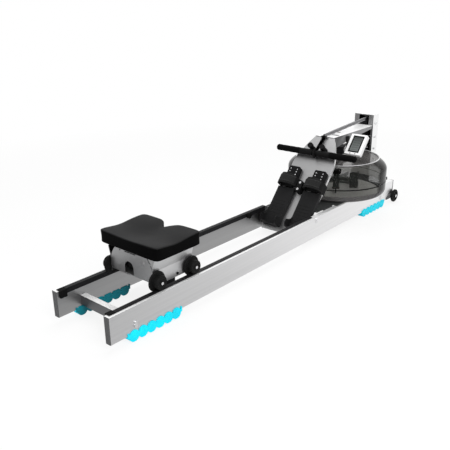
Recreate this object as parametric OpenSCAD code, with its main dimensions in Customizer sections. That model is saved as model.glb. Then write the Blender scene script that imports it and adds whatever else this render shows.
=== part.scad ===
// Water rowing machine on two rectangular rails, with a sliding seat, an inclined
// footboard, a water tank with its impeller, and a handle on a webbing strap.
// +X points to the tank end, +Y to the rower's left, +Z up; the floor is z = 0.

/* [Rails] */
// Length of each rail
rail_l = 2060; // [1960:10:2160]
// Height of the rail tube
rail_h = 101.6; // [92:0.2:110]
// Thickness of the rail tube, across the machine
rail_t = 25.4; // [22:0.2:32]
// Clear width between the two rails
rail_gap = 265; // [255:1:285]
// Wall of the rail tube
rail_wall = 2.5; // [2:0.1:4]
// Thickness of the plastic caps on the rail ends
cap_t = 3; // [2:0.5:6]
// Width of the seat track on top of the rail
track_w = 15; // [12:0.5:17]
// Thickness of the seat track above the rail
track_t = 3; // [2:0.5:4]
// Thickness of the track's lip on the rail's inner face
lip_t = 3.5; // [2.5:0.5:5]
// Depth of the track's lip below the track's top
lip_h = 20; // [14:1:26]
// Length of the seat track past the footboard's lower edge
track_l = 35; // [0:1:40]

/* [Feet] */
// Height of the rails above the floor
foot_drop = 29; // [24:1:36]
// Number of round lobes in each foot
foot_lobes = 6; // [4:1:7]
// Radius of one lobe
lobe_r = 22; // [21:1:26]
// Spacing of the lobes
lobe_pitch = 40.5; // [36:0.5:42]
// Thickness of the foot beside the rail
foot_wall = 3; // [2:0.5:8]
// Centre of the rear feet from the rear end of the rail
rear_foot_x = 200; // [170:5:260]
// Centre of the front feet from the front end of the rail
front_foot_x = 227; // [200:1:260]

/* [Frame] */
// Height of the cross-member tubes
cross_h = 41; // [34:1:48]
// Width of the rear cross-member tube
cross_w = 24; // [20:1:32]
// Place of the rear cross-member from the rear end of the rail
rear_cross_x = 109; // [95:1:140]
// Bottom of the cross-members above the rail's bottom
cross_z = 12; // [4:1:20]
// Radius of the frame bolts
bolt_r = 4; // [3:0.5:5]
// Spacing of the two bolts in a pair
bolt_pitch = 12.5; // [12:0.5:16]
// Radius of the front transport wheels
tw_r = 36; // [30:1:37]
// Width of the front transport wheels
tw_w = 16; // [12:1:22]
// Distance of the transport wheel axle ahead of the rail's front end
tw_ahead = 5; // [5:1:9]
// Height of the transport wheel axle above the rail's bottom
tw_z = 10; // [9:1:24]

/* [Seat] */
// Seat position at rest, from the rear end of the rail
seat_x = 335; // [300:5:500]
// Length of the cushion along the rails
cushion_l = 228; // [200:2:250]
// Width of the cushion
cushion_w = 316; // [290:2:334]
// Height of the cushion at its corners
cushion_h = 51; // [42:1:60]
// Depth of the notch in the cushion's front edge
notch_l = 46; // [30:2:60]
// Distance between the front and rear seat wheels
wheelbase = 176; // [160:2:190]
// Radius of the wheel part that rolls on the track
drum_r = 26; // [22:0.5:30]
// Width of the wheel part that rolls on the track
drum_w = 24; // [16:0.5:25]
// Radius of the wheel's guide disc
disc_r = 39; // [34:0.5:42]
// Thickness of the wheel's guide disc
disc_w = 7.5; // [5:0.5:9]
// Height of the carriage's top pan above the rail's bottom
pan_z = 220; // [205:1:235]
// Sheet thickness of the carriage
sheet_t = 2.5; // [2:0.5:4]

/* [Footboard] */
// Distance of the board's lower edge from the front end of the rail
board_x = 870; // [869:1:876]
// Slope of the footboard
board_angle = 49; // [48:0.5:50]
// Length of the footboard along its slope
board_l = 550; // [540:2:556]
// Sheet thickness of the footboard and the top deck
board_t = 4; // [3:0.5:6]
// Half width of the board behind the toe plates
board_half = 118; // [112:1:130]
// Half width of the board's top edge and of the deck
deck_half = 54; // [46:1:62]
// Distance of each footrest from the middle
rest_y = 75; // [68:1:78]
// Width of the footrest at the toes
rest_w = 97; // [86:1:106]
// Width of the footrest at the heel
heel_w = 94; // [84:1:106]
// Height of the foot sole above the board
rest_t = 20; // [14:0.5:24]
// Height of the toe strap over the board
strap_rise = 62; // [52:1:76]
// Width of the toe strap
toe_strap_w = 58; // [40:1:62]

/* [Tank] */
// Distance of the tank's rear side from the front end of the rail
tank_x = 632; // [630:1:634]
// Outer radius of the tank
tank_r = 260; // [250:1:262]
// Height of the tank
tank_h = 184; // [170:1:190]
// Width of the tank's rounded shoulder
shoulder_w = 46; // [36:1:50]
// Height of the tank's rounded shoulder
shoulder_h = 52; // [40:1:56]
// Height of the seam between the two tank shells
seam_h = 72; // [60:1:90]
// Wall of the tank shells
tank_wall = 4; // [3:0.5:5]
// Depth of the water
water_h = 118; // [100:1:140]
// Radius of the impeller
impeller_r = 112; // [90:1:150]
// Radius of the impeller shaft
shaft_r = 8; // [6:0.5:10]
// Radius of the strap drum on the shaft
spool_r = 32; // [26:1:36]

/* [Top] */
// Step of the deck's top above the board's top edge
deck_z = 2.9; // [2:0.1:9]
// Height of the front post above the deck
riser_h = 59; // [52:1:72]
// Width of the front post
riser_w = 115; // [106:1:124]
// Depth of the front post
riser_d = 60; // [58:1:70]
// Radius of the strap pulleys
pulley_r = 22; // [18:1:23]
// Length of the handle
handle_l = 458; // [400:2:500]
// Radius of the handle grips
grip_r = 16; // [14:0.5:18]
// Radius of the two handle pegs
peg_r = 14; // [10:0.5:15]
// Length of the handle pegs above the board
peg_l = 46; // [42:1:56]
// Distance of the handle pegs from the middle
peg_y = 34; // [30:1:44]
// Width of the handle strap
strap_w = 25; // [20:1:28]

/* [Monitor] */
// Width of the monitor
mon_w = 90; // [84:1:98]
// Height of the monitor along its face
mon_h = 117; // [104:1:125]
// Thickness of the monitor
mon_t = 22; // [18:1:26]
// Slope of the monitor's face
mon_angle = 50; // [45:1:56]
// Gap between the deck's side and the monitor
mon_gap = 19; // [14:1:24]

/* [Hidden] */
$fn = 48;

// Colours of the finishes
steel = [0.72, 0.72, 0.73];
alloy = [0.80, 0.80, 0.81];
black = [0.07, 0.07, 0.075];
rubber = [0.05, 0.05, 0.05];
cyan = [0.0, 0.80, 0.92];
smoke = [0.24, 0.23, 0.22, 0.75];
white = [0.93, 0.93, 0.93];
webbing = [0.34, 0.34, 0.35];

// Clearances
fit = 0.05; // radial running clearance of a shaft in its bore
rest_gap = 0.3; // gap at rest between a moving piece and its seat
hole_gap = 0.2; // radial clearance of a bolt in its hole
eps = 0.01; // overlap that makes a cut run past its face

// Rails, in a frame with x from the rail's rear end and z from the rail's bottom
overall_l = cap_t + rail_l + tw_ahead + tw_r;
rear_x = cap_t - overall_l / 2;
rail_z = foot_drop;
tw_x = rail_l + tw_ahead;
inner_y = rail_gap / 2;
board_at = rail_l - board_x;
tank_mid = rail_l - tank_x + tank_r;
front_foot_mid = rail_l - front_foot_x;
track_end = board_at + track_l;
outer_y = inner_y + rail_t;
track_z = rail_h + track_t;
lip_y = inner_y - lip_t;
stop_l = 38;
stop_start = 10;
stop_low = 30;
bumper_x = board_at - 105;
bumper_r = 14;
bumper_l = 12;
bumper_z = track_z - 12.6;

tw_y = outer_y + 5;

// Cross-members and their bolts
front_cross_w = 84;
riser_x = tank_mid + tank_r + 10;
front_cross_x = riser_x - front_cross_w / 2;
end_plate = 12;
cross_mid = cross_z + cross_h / 2;
head_r = bolt_r * 1.7;
head_h = bolt_r * 0.9;
board_bolt_x = board_at + 57;
board_bolt_z = 85;
board_lip = 14;
board_low = lip_y - 2;
board_low_s = 95;
board_foot_half = board_half - 10;
deck_top = board_l * sin(board_angle) + deck_z;
riser_top = deck_top + riser_h;
lobe_flat = 0.8;
foot_tab = 6;
tray_t = 2;
tray_lip = 40;
tray_x = tank_mid - tank_r + 22;
tray_rear = board_at + rail_h / tan(board_angle) + 22;
tray_half = outer_y - 10;

// Seat wheels and carriage
disc_out = lip_y - 3;
disc_in = disc_out - disc_w;
drum_out = disc_out + drum_w;
wheel_z = track_z + rest_gap + drum_r;
flange_y = disc_in - 4;
waist_z = 165;
flange_z = track_z + 4;
facet_y = flange_y + 13;
rear_wheel_x = seat_x - wheelbase / 2;
front_wheel_x = seat_x + wheelbase / 2;
carriage_l = cushion_l - 28;
pan_half = facet_y + 3;
pan_chamfer = 14;
keeper_back = 30;
keeper_l = 42;
axle_r = 4;

// Footrests, on the board's own frame: x up the slope, z out of its face
heel_s = 22;
heel_back_h = 32;
heel_peak_h = 66;
ear_l = 62;
toe_s = 352;
toe_plate_l = 116;
toe_plate_w = 65;
toe_plate_t = 4;
toe_strap_s = 238;
toe_strap_t = 2.4;
clamp_r = 14;
clamp_h = 34;
clamp_low = 228;
clamp_high = 264;
sole_top = toe_s - toe_plate_l - 4;
guide_w = 30;
guide_t = 3;
heel_travel = 60;
hole_pitch = 15;

// Tank
tank_z = rail_h + tray_t;
band_h = 6;
tank_step = 6;
rim_r = tank_r - shoulder_w + 5;
plug_r = 16;
plug_x = -120;
plug_y = 110;
water_gap = 0.5;
spool_z = tank_z + tank_h + 41;
spool_h = strap_w + 6;
cord_r = 4;
cord_spool_r = 14;
shaft_top = deck_top - board_t - 6;

// Pulleys in the post
pulley_x = riser_x + riser_d / 2;
strap_t = 2;
strap_gap = 0.4;
wrap_r = pulley_r + strap_gap + strap_t / 2;
turn_pulley_z = spool_z + wrap_r;
top_pulley_z = max(deck_top + 9, turn_pulley_z + 2 * (pulley_r + 4) + 1);
cord_start_y = -(cord_spool_r + cord_r + strap_gap);
cord_y = -36;
cord_z = spool_z - spool_h / 2 - 9;
cord_pulley_r = 14;
cord_wrap = cord_pulley_r + strap_gap + cord_r;
upper_cord_z = cord_z - cord_wrap;
lower_cord_z = cross_z + cross_h + 20 + cord_wrap;

// Handle at rest, held under its pegs by the strap
peg_s = board_l - 78;
handle_off = 24;
handle_s = peg_s - peg_r - grip_r - rest_gap;
link_off = 9;
sleeve_half = 86;

// Monitor
mon_x = tank_mid - 26;
mon_y = -(deck_half + mon_gap + mon_w / 2);
mon_z = deck_top - 44;
mon_lid = 3;
hinge_back = mon_t + 12;
hinge_r = 4;
button_r = 3.2;

// Route of the sensor lead: out of the pickup on the lid, in a loop, and up to the deck's side
lead_r = 2;
lead_path = [[-50, -62, 5], [-62, -62, 5], [-76, -60, 4], [-92, -64, 3], [-108, -72, 3],
    [-124, -80, 3], [-138, -83, 4], [-148, -78, 6], [-151, -68, 11], [-146, -61, 20],
    [-138, -59, 32], [-130, -58, 44], [-122, -58, 54], [-115, -58, 61], [-112, -57, 65]];

function arc(cx, cy, rx, ry, a0, a1, n) =
    [for (i = [0:n]) let (a = a0 + (a1 - a0) * i / n) [cx + rx * cos(a), cy + ry * sin(a)]];
function unit(v) = v / norm(v);

// Puts children in the rail frame
module rail_frame() { translate([rear_x, 0, rail_z]) children(); }

// Puts children in the footboard's frame
module on_board() {
    rail_frame() translate([board_at, 0, 0]) rotate([0, -board_angle, 0]) children();
}

// Puts children in the tank's frame, with z from the tank's bottom
module on_tank() { rail_frame() translate([tank_mid, 0, tank_z]) children(); }

module mirror_y() { mirror([0, 1, 0]) children(); }

module both_sides() {
    children();
    mirror_y() children();
}

// A box given by its low and high corners
module block(lo, hi) { translate(lo) cube(hi - lo); }

// A cylinder along y from y0 to y1
module rod_y(x, z, r, y0, y1) {
    translate([x, y0, z]) rotate([-90, 0, 0]) cylinder(r = r, h = y1 - y0);
}

// A cylinder along x from x0 to x1
module rod_x(x0, x1, y, z, r) {
    translate([x0, y, z]) rotate([0, 90, 0]) cylinder(r = r, h = x1 - x0);
}

// Rail tubes with their bolt holes
module bolt_holes(x, z) {
    for (i = [-1, 1])
        rod_y(x, z + i * bolt_pitch / 2, bolt_r + hole_gap, inner_y - eps - end_plate, outer_y + eps);
}

module rail() {
    rail_frame() difference() {
        block([0, inner_y, 0], [rail_l, outer_y, rail_h]);
        block([-eps, inner_y + rail_wall, rail_wall],
            [rail_l + eps, outer_y - rail_wall, rail_h - rail_wall]);
        bolt_holes(rear_cross_x, cross_mid);
        bolt_holes(front_cross_x, cross_mid);
        bolt_holes(board_bolt_x, board_bolt_z);
    }
}

module rail_left() { color(alloy) rail(); }

module rail_right() { color(alloy) mirror_y() rail(); }

// A cap with rounded upright edges and a plug inside the tube
module end_cap() {
    plug = rail_wall + 0.2;
    linear_extrude(rail_h) intersection() {
        translate([-cap_t, inner_y]) square([cap_t + eps, rail_t]);
        union() {
            translate([-cap_t, inner_y + cap_t]) square([cap_t + eps, rail_t - 2 * cap_t]);
            for (y = [inner_y + cap_t, outer_y - cap_t]) translate([0, y]) circle(r = cap_t);
        }
    }
    difference() {
        block([-eps, inner_y + plug, plug], [16, outer_y - plug, rail_h - plug]);
        block([0, inner_y + plug + 2, plug + 2], [17, outer_y - plug - 2, rail_h - plug - 2]);
    }
}

// Front cap; its arm on the rail's outer face carries the transport wheel's axle
module front_cap() {
    plug = rail_wall + 0.2;
    block([-16, inner_y + plug, tw_z + 18], [eps, outer_y - plug, rail_h - plug]);
    difference() {
        union() {
            block([0, inner_y, 0], [cap_t, outer_y + 1, rail_h]);
            translate([0, outer_y + 4.5, 0]) rotate([90, 0, 0]) linear_extrude(4.5) {
                polygon([[-72, 1], [-72, 8], [-50, tw_z + 14], [tw_ahead, tw_z + 14],
                    [tw_ahead, 1]]);
                translate([tw_ahead, tw_z]) circle(r = 13);
            }
            block([0, outer_y - 18, 0], [tw_ahead + 12, outer_y + 1, tw_z + 12]);
        }
        rod_y(tw_ahead, tw_z, bolt_r + 0.05, outer_y - 12, outer_y + 10);
    }
}

module rail_end_caps() {
    color([0.45, 0.45, 0.46]) both_sides() rail_frame() {
        end_cap();
        translate([rail_l, 0, 0]) front_cap();
    }
}

// Seat track: an L section with a groove along its lip
module track() {
    low = track_z - lip_h;
    rail_frame() difference() {
        union() {
            block([stop_l, lip_y, rail_h], [track_end, inner_y + track_w, track_z]);
            block([stop_l, lip_y, low], [track_end, inner_y, track_z]);
        }
        block([stop_l - eps, lip_y - eps, low + lip_h / 2 - 1],
            [track_end + eps, lip_y + 0.8, low + lip_h / 2 + 1]);
    }
}

module track_left() { color(black) track(); }

module track_right() { color(black) mirror_y() track(); }

// Rear stop blocks and round front bumpers
module seat_stops() {
    color(rubber) both_sides() rail_frame() {
        block([stop_start, lip_y - 5, track_z - stop_low], [stop_l, inner_y, track_z]);
        block([stop_start, inner_y - eps, rail_h], [stop_l, inner_y + track_w, track_z]);
        difference() {
            rod_y(bumper_x, bumper_z, bumper_r, lip_y - bumper_l, lip_y);
            rod_y(bumper_x, bumper_z, bumper_r * 0.45, lip_y - bumper_l - eps, lip_y - bumper_l + 2);
        }
    }
}

// Cross-member tube with a thick plate at each end that takes the bolts
module cross_tube(x, w) {
    difference() {
        block([x - w / 2, -inner_y, cross_z], [x + w / 2, inner_y, cross_z + cross_h]);
        block([x - w / 2 + 2.5, end_plate - inner_y, cross_z + 2.5],
            [x + w / 2 - 2.5, inner_y - end_plate, cross_z + cross_h - 2.5]);
        both_sides() bolt_holes(x, cross_mid);
    }
}

module rear_crossmember() { color(steel) rail_frame() cross_tube(rear_cross_x, cross_w); }

module front_crossmember() {
    color(steel) rail_frame() cross_tube(front_cross_x, front_cross_w);
}

// Sheet tray on the rails under the tank; its rear lip anchors the recoil cord
module tank_tray() {
    color([0.2, 0.2, 0.2]) rail_frame() difference() {
        union() {
            block([tray_x, -tray_half, rail_h], [riser_x - 8, tray_half, rail_h + tray_t]);
            block([tray_rear, 3 - lip_y, rail_h], [tray_x + 1, lip_y - 3, rail_h + tray_t]);
            block([tray_x, 12 - inner_y, rail_h - tray_lip], [tray_x + 3, inner_y - 12, rail_h]);
            block([riser_x - 11, 12 - inner_y, rail_h - 14], [riser_x - 8, inner_y - 12, rail_h]);
        }
        rod_x(tray_x - 1, tray_x + 4, cord_y, lower_cord_z - cord_wrap, cord_r + 0.3);
    }
}

// Bolt with a domed head on the rail's outer face
module frame_bolt(x, z, depth) {
    rod_y(x, z, bolt_r, outer_y - depth, outer_y + eps);
    rod_y(x, z, head_r, outer_y, outer_y + head_h);
}

module frame_bolts() {
    color(steel) both_sides() rail_frame() for (i = [-1, 1]) {
        frame_bolt(rear_cross_x, cross_mid + i * bolt_pitch / 2, rail_t + end_plate - 1);
        frame_bolt(front_cross_x, cross_mid + i * bolt_pitch / 2, rail_t + end_plate - 1);
        frame_bolt(board_bolt_x, board_bolt_z + i * bolt_pitch / 2, rail_t + 6);
    }
}

// Foot: a row of round lobes that wraps the rail's bottom, with a tab at each end; the lobes
// are flat where they stand on the floor
module foot(x) {
    half = (foot_lobes - 1) * lobe_pitch / 2;
    low_y = inner_y - foot_wall;
    high_y = outer_y + foot_wall;
    end = half + lobe_r + foot_tab;
    rail_frame() difference() {
        union() {
            for (i = [0:foot_lobes - 1])
                rod_y(x - half + i * lobe_pitch, lobe_r - foot_drop - lobe_flat, lobe_r,
                    low_y, high_y);
            block([x - end, low_y, -10], [x + end, high_y, 0.5]);
            block([x - end, low_y, -10], [x - end + foot_tab, high_y, 10]);
            block([x + end - foot_tab, low_y, -10], [x + end, high_y, 10]);
        }
        block([x - end - 1, low_y - 1, -foot_drop - lobe_r], [x + end + 1, high_y + 1, -foot_drop]);
        block([x - end - 1, inner_y, 0], [x + end + 1, outer_y, lobe_r * 2]);
        block([x - end - 1, low_y - 1, cross_z - 3], [x + end + 1, inner_y + 1, lobe_r * 2]);
    }
}

module feet_rear() { color(cyan) both_sides() foot(rear_foot_x); }

module feet_front() { color(cyan) both_sides() foot(front_foot_mid); }

// Half width of the board at u, from the knee (0) to the top edge (1)
function neck(u) = board_half + (deck_half - board_half) * pow(u, 1.5);

// Outline of the footboard, drawn in by d: wide between the rails, narrower above, and
// narrowest at the deck
function board_outline(d) = let (knee = board_l - 165,
    right = concat([[-d, board_low - d], [board_low_s - d, board_low - d],
        [board_low_s + 12 + d, board_foot_half - d], [knee * 0.62, board_half - 1 - d],
        [knee, board_half - d]], [for (i = [1:8]) [knee + 165 * i / 8 + (i == 8 ? d : 0),
        neck(i / 8) - d]])) concat(
    [for (p = right) [p[0], -p[1]]], [for (i = [len(right) - 1:-1:0]) right[i]]);

module footboard() {
    tab_x = board_bolt_x - board_at;
    color(steel) {
        on_board() difference() {
            translate([0, 0, -board_lip]) linear_extrude(board_lip) polygon(board_outline(0));
            translate([0, 0, -board_lip - 1]) linear_extrude(board_lip + 1 - board_t)
                polygon(board_outline(3));
            block([board_l - 14, -board_half, -board_lip - 1], [board_l + 1, board_half, -board_t]);
            for (y = [-1, 1] * peg_y)
                translate([peg_s, y, -board_t - 1]) cylinder(r = 4 + hole_gap, h = board_t + 2);
        }
        both_sides() rail_frame() translate([board_at, 0, 0]) difference() {
            rotate([90, 0, 0]) translate([0, 0, -inner_y]) linear_extrude(inner_y - board_low + 2)
                polygon([[tab_x - 14, board_bolt_z - 44], [tab_x - 14, board_bolt_z + 12],
                    [tab_x + 30, board_bolt_z + 12], [tab_x + 30, board_bolt_z - 44]]);
            for (i = [-1, 1])
                rod_y(tab_x, board_bolt_z + i * bolt_pitch / 2, bolt_r + hole_gap,
                    inner_y - 12, inner_y + 1);
        }
    }
}

// Fixed part of a footrest: a guide strip on the board and a perforated toe plate
module footrest() {
    low = rest_t + 0.4;
    high = low + toe_plate_t;
    on_board() translate([0, rest_y, 0]) difference() {
        union() {
            block([heel_s + 14, -guide_w / 2, 0], [toe_s - 20, guide_w / 2, guide_t]);
            block([toe_s - toe_plate_l, -toe_plate_w / 2, low], [toe_s - 8, toe_plate_w / 2, high]);
            block([toe_s - 52, -toe_plate_w / 2, 0], [toe_s - 8, toe_plate_w / 2, high]);
            block([toe_s - 9, 8 - toe_plate_w / 2, 0], [toe_s, toe_plate_w / 2 - 8, high]);
            for (y = [-1, 1] * (toe_plate_w / 2 - 8))
                translate([toe_s - 8, y, 0]) cylinder(r = 8, h = high);
        }
        for (i = [0:2], y = [-19, 19])
            translate([toe_s - 16 - i * hole_pitch, y, low - 8]) cylinder(r = 3.5, h = 20);
    }
}

// Clamp between the two footrests, with two knobs that hold the toe straps' inner ends
module strap_clamp() {
    reach = rest_y - rest_w / 2 - 3.5;
    on_board() {
        for (s = [clamp_low, clamp_high]) translate([s, 0, 0]) cylinder(r = clamp_r, h = clamp_h);
        block([clamp_low, -clamp_r, 0], [clamp_high, clamp_r, clamp_h]);
        block([toe_strap_s + 6, -reach, 0], [clamp_high - 4, reach, 10]);
    }
}

module footrest_left() {
    color(black) {
        footrest();
        strap_clamp();
    }
}

module footrest_right() { color(black) mirror_y() footrest(); }

// Sliding heel rest: a thick sole with a cup of a low back wall and two side ears
module heel_rest() {
    half = heel_w / 2;
    on_board() translate([0, rest_y, 0]) difference() {
        union() {
            translate([0, 0, 0.3]) linear_extrude(rest_t - 0.3) polygon([[heel_s, -half],
                [sole_top, -rest_w / 2], [sole_top, rest_w / 2], [heel_s, half]]);
            translate([heel_s, 0, 0]) rotate([90, 0, 90]) linear_extrude(6) polygon([
                [-half, 0.3], [half, 0.3], [half, heel_peak_h - 16], [half - 5, heel_peak_h - 16],
                [half - 18, heel_back_h + 5], [half - 32, heel_back_h], [32 - half, heel_back_h],
                [18 - half, heel_back_h + 5], [5 - half, heel_peak_h - 16],
                [-half, heel_peak_h - 16]]);
            for (y = [-half, half - 5])
                translate([heel_s, y + 5, 0]) rotate([90, 0, 0]) linear_extrude(5) polygon([[0, 1],
                    [ear_l, 1], [ear_l, rest_t + 2], [ear_l - 12, rest_t + 9],
                    [ear_l - 20, heel_peak_h - 22], [ear_l - 26, heel_peak_h - 5],
                    [ear_l - 33, heel_peak_h], [16, heel_peak_h - 2], [5, heel_peak_h - 8],
                    [0, heel_peak_h - 16]]);
        }
        block([0, -guide_w / 2 - 0.4, -1], [sole_top + 1, guide_w / 2 + 0.4, guide_t + 0.3]);
        for (i = [0:6])
            block([heel_s + 26 + i * 17, -32, rest_t - 1.2], [heel_s + 30 + i * 17, 32, rest_t + 1]);
    }
}

module heel_rest_left() { color(black) heel_rest(); }

module heel_rest_right() { color(black) mirror_y() heel_rest(); }

// Toe strap: a band that arches over the foot; its inner end stands on the board, and its
// outer end is fixed to the board's folded edge
module toe_strap() {
    half = rest_w / 2 + 3.2;
    rise = strap_rise - rest_t - 10;
    edge = board_half - rest_y;
    outer = concat([[half, 1 - board_lip]], arc(0, rest_t + 10, half, rise, 0, 180, 20), [[-half, 0]]);
    inner = concat([[toe_strap_t - half, 0]],
        arc(0, rest_t + 10, half - toe_strap_t, rise - toe_strap_t, 180, 0, 20),
        [[half - toe_strap_t, 1 - board_lip]]);
    on_board() translate([toe_strap_s, rest_y, 0]) rotate([90, 0, 90]) {
        linear_extrude(toe_strap_w) polygon(concat(outer, inner));
        translate([edge, 1 - board_lip, 6]) cube([half - edge, board_lip - 2.5, toe_strap_w - 12]);
    }
}

module toe_strap_left() { color(black) toe_strap(); }

module toe_strap_right() { color(black) mirror_y() toe_strap(); }

// Knobs on the strap clamp, and the pins in the perforated plates
module footrest_screws() {
    color(steel) on_board() {
        for (s = [clamp_low, clamp_high]) translate([s, 0, clamp_h]) cylinder(r = 6, h = 4);
        both_sides() for (i = [0:2], y = [-19, 19])
            translate([toe_s - 16 - i * hole_pitch, rest_y + y, rest_t - 7.6])
                cylinder(r = 3, h = 13);
    }
}

// Deck from the board's top to the post, with side flanges that taper to the front
module top_deck() {
    x0 = board_at + board_l * cos(board_angle);
    edge = board_l * sin(board_angle);
    skirt = 64;
    color(steel) difference() {
        rail_frame() union() {
            block([x0 - 2, -deck_half, deck_top - board_t], [riser_x, deck_half, deck_top]);
            both_sides() translate([0, deck_half, 0]) rotate([90, 0, 0]) linear_extrude(3) polygon([
                [x0, edge - 1], [x0, deck_top - board_t + 1],
                [riser_x, deck_top - board_t + 1], [riser_x, deck_top - 16], [mon_x + 70, deck_top - 34],
                [x0 + 8 - skirt * cos(board_angle), deck_top - skirt],
                [x0 - skirt / tan(board_angle), deck_top - skirt]]);
        }
        on_board() block([0, -board_half, -board_t], [board_l, board_half, 60]);
        rail_frame() block([mon_x - 58, -47, deck_top - 12], [mon_x - 42, -5, deck_top + 1]);
        on_tank() cylinder(r = shaft_r + 2, h = deck_top);
    }
}

// Front post: a folded box, open below, with windows for the strap
module riser() {
    half = riser_w / 2;
    color(steel) rail_frame() difference() {
        block([riser_x, -half, 0], [riser_x + riser_d, half, riser_top]);
        block([riser_x + 3, 3 - half, -1], [riser_x + riser_d - 3, half - 3, riser_top - 3]);
        block([riser_x - 1, -29, deck_top + 2], [riser_x + 4, 29, riser_top - 5]);
        block([riser_x - 1, -46, deck_top - 140], [riser_x + 4, 46, deck_top - 20]);
        block([riser_x - 1, -46, cross_z + cross_h + 8], [riser_x + 4, 46, rail_h - 6]);
        for (z = [top_pulley_z, turn_pulley_z, upper_cord_z, lower_cord_z])
            rod_y(pulley_x, z, axle_r + hole_gap, -half - 1, half + 1);
    }
}

// Two round pegs that hold the handle against the pull of the strap
module handle_pegs() {
    color(black) on_board() for (y = [-1, 1] * peg_y) translate([peg_s, y, 0]) {
        cylinder(r = peg_r - 1.5, h = peg_l);
        cylinder(r = peg_r, h = 6);
        translate([0, 0, peg_l - 12]) cylinder(r = peg_r, h = 12);
        translate([0, 0, -board_t - 6]) cylinder(r = 4, h = board_t + 8);
        translate([0, 0, -board_t - 6]) cylinder(r = 8, h = 6);
    }
}

// Half section of the tank, moved inwards by d: a foot, a rounded lower corner, an upright
// wall and a wide shoulder
function tank_outline(d) = concat([[0, d], [tank_r - 34, d]],
    arc(tank_r - 18, tank_step + 30, 18 - d, 30 - d, -90, 0, 8),
    [for (i = [0:8]) [tank_r - d - shoulder_w * pow(i / 8, 2),
        tank_h - shoulder_h + (shoulder_h - d) * i / 8]], [[0, tank_h - d]]);

module tank_shell(z0, z1) {
    rotate_extrude($fn = 96) intersection() {
        difference() {
            polygon(tank_outline(0));
            polygon(tank_outline(tank_wall));
        }
        translate([0, z0]) square([tank_r + 1, z1 - z0]);
    }
}

module tank_base() {
    color(smoke) on_tank() {
        tank_shell(0, seam_h - 1);
        difference() {
            translate([0, 0, tank_wall - eps]) cylinder(r = 2 * shaft_r + 4, h = 9);
            translate([0, 0, tank_wall - 1]) cylinder(r = 2 * shaft_r, h = 12);
        }
    }
}

module tank_lid() {
    color(smoke) on_tank() difference() {
        union() {
            tank_shell(seam_h + 1, tank_h);
            translate([0, 0, tank_h - 5]) difference() {
                cylinder(r = rim_r, h = 9.5, $fn = 96);
                translate([0, 0, -1]) cylinder(r = rim_r - 5, h = 12, $fn = 96);
            }
            translate([0, 0, tank_h - 8]) cylinder(r = 2 * shaft_r + 4, h = 12);
            translate([plug_x, plug_y, tank_h - 8]) cylinder(r = plug_r + 6, h = 12);
            block([-52, -72, tank_h - 3], [-24, -52, tank_h + 3]);
        }
        translate([0, 0, tank_h - 20]) cylinder(r = 2 * shaft_r, h = 40);
        translate([plug_x, plug_y, tank_h - 20]) cylinder(r = plug_r + 1, h = 40);
    }
}

module tank_gasket() {
    color(rubber) on_tank() translate([0, 0, seam_h - 1]) difference() {
        cylinder(r = tank_r, h = 2, $fn = 96);
        translate([0, 0, -1]) cylinder(r = tank_r - tank_wall, h = 4, $fn = 96);
    }
}

// Clamp band that holds the two shells together, closed by a lug at the front
module tank_band() {
    color(black) on_tank() translate([0, 0, seam_h - band_h / 2]) {
        difference() {
            cylinder(r = tank_r + 1.6, h = band_h, $fn = 96);
            translate([0, 0, -1]) cylinder(r = tank_r + 0.2, h = band_h + 2, $fn = 96);
        }
        for (a = [60, 180, 300]) rotate([0, 0, a])
            block([tank_r + 1, -9, 0], [tank_r + 6, 9, band_h + 6]);
    }
}

// Water in the tank, without the space that the impeller sweeps
module water() {
    inner = tank_wall + water_gap;
    color([0.5, 0.6, 0.62, 0.4]) on_tank() rotate_extrude($fn = 96) intersection() {
        polygon(tank_outline(inner));
        translate([impeller_r + 6, 0]) square([tank_r, water_h]);
    }
}

// Shaft bushes: in the tank's floor, in the lid and under the deck
module impeller_bearings() {
    color([0.75, 0.62, 0.35]) on_tank() {
        for (z = [tank_wall, tank_h - 6]) translate([0, 0, z]) difference() {
            cylinder(r = 2 * shaft_r - 0.1, h = 10);
            translate([0, 0, z == tank_wall ? 2 : -1]) cylinder(r = shaft_r + fit, h = 12);
        }
        translate([0, 0, deck_top - board_t - tank_z - 12]) difference() {
            cylinder(r = 2 * shaft_r, h = 12);
            translate([0, 0, -1]) cylinder(r = shaft_r + fit, h = 14);
        }
    }
}

module impeller_shaft() {
    low = tank_wall + 2 + rest_gap;
    color(steel) on_tank() translate([0, 0, low])
        cylinder(r = shaft_r, h = shaft_top - tank_z - low);
}

// Impeller: a hub with a collar, and four paddles on flat arms
module impeller() {
    z0 = tank_wall + 10;
    paddle_h = 84;
    color([0.1, 0.1, 0.1]) on_tank() difference() {
        union() {
            translate([0, 0, z0]) cylinder(r = 2 * shaft_r, h = paddle_h + 16);
            translate([0, 0, z0 + paddle_h - 6]) cylinder(r = 3 * shaft_r, h = 22);
            for (a = [30:90:300]) rotate([0, 0, a]) {
                block([shaft_r + 4, -3, z0 + paddle_h / 2 - 5],
                    [impeller_r - 8, 3, z0 + paddle_h / 2 + 5]);
                block([impeller_r - 42, -2.5, z0], [impeller_r, 2.5, z0 + paddle_h]);
            }
        }
        translate([0, 0, z0 - 1]) cylinder(r = shaft_r, h = paddle_h + 20);
    }
}

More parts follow.
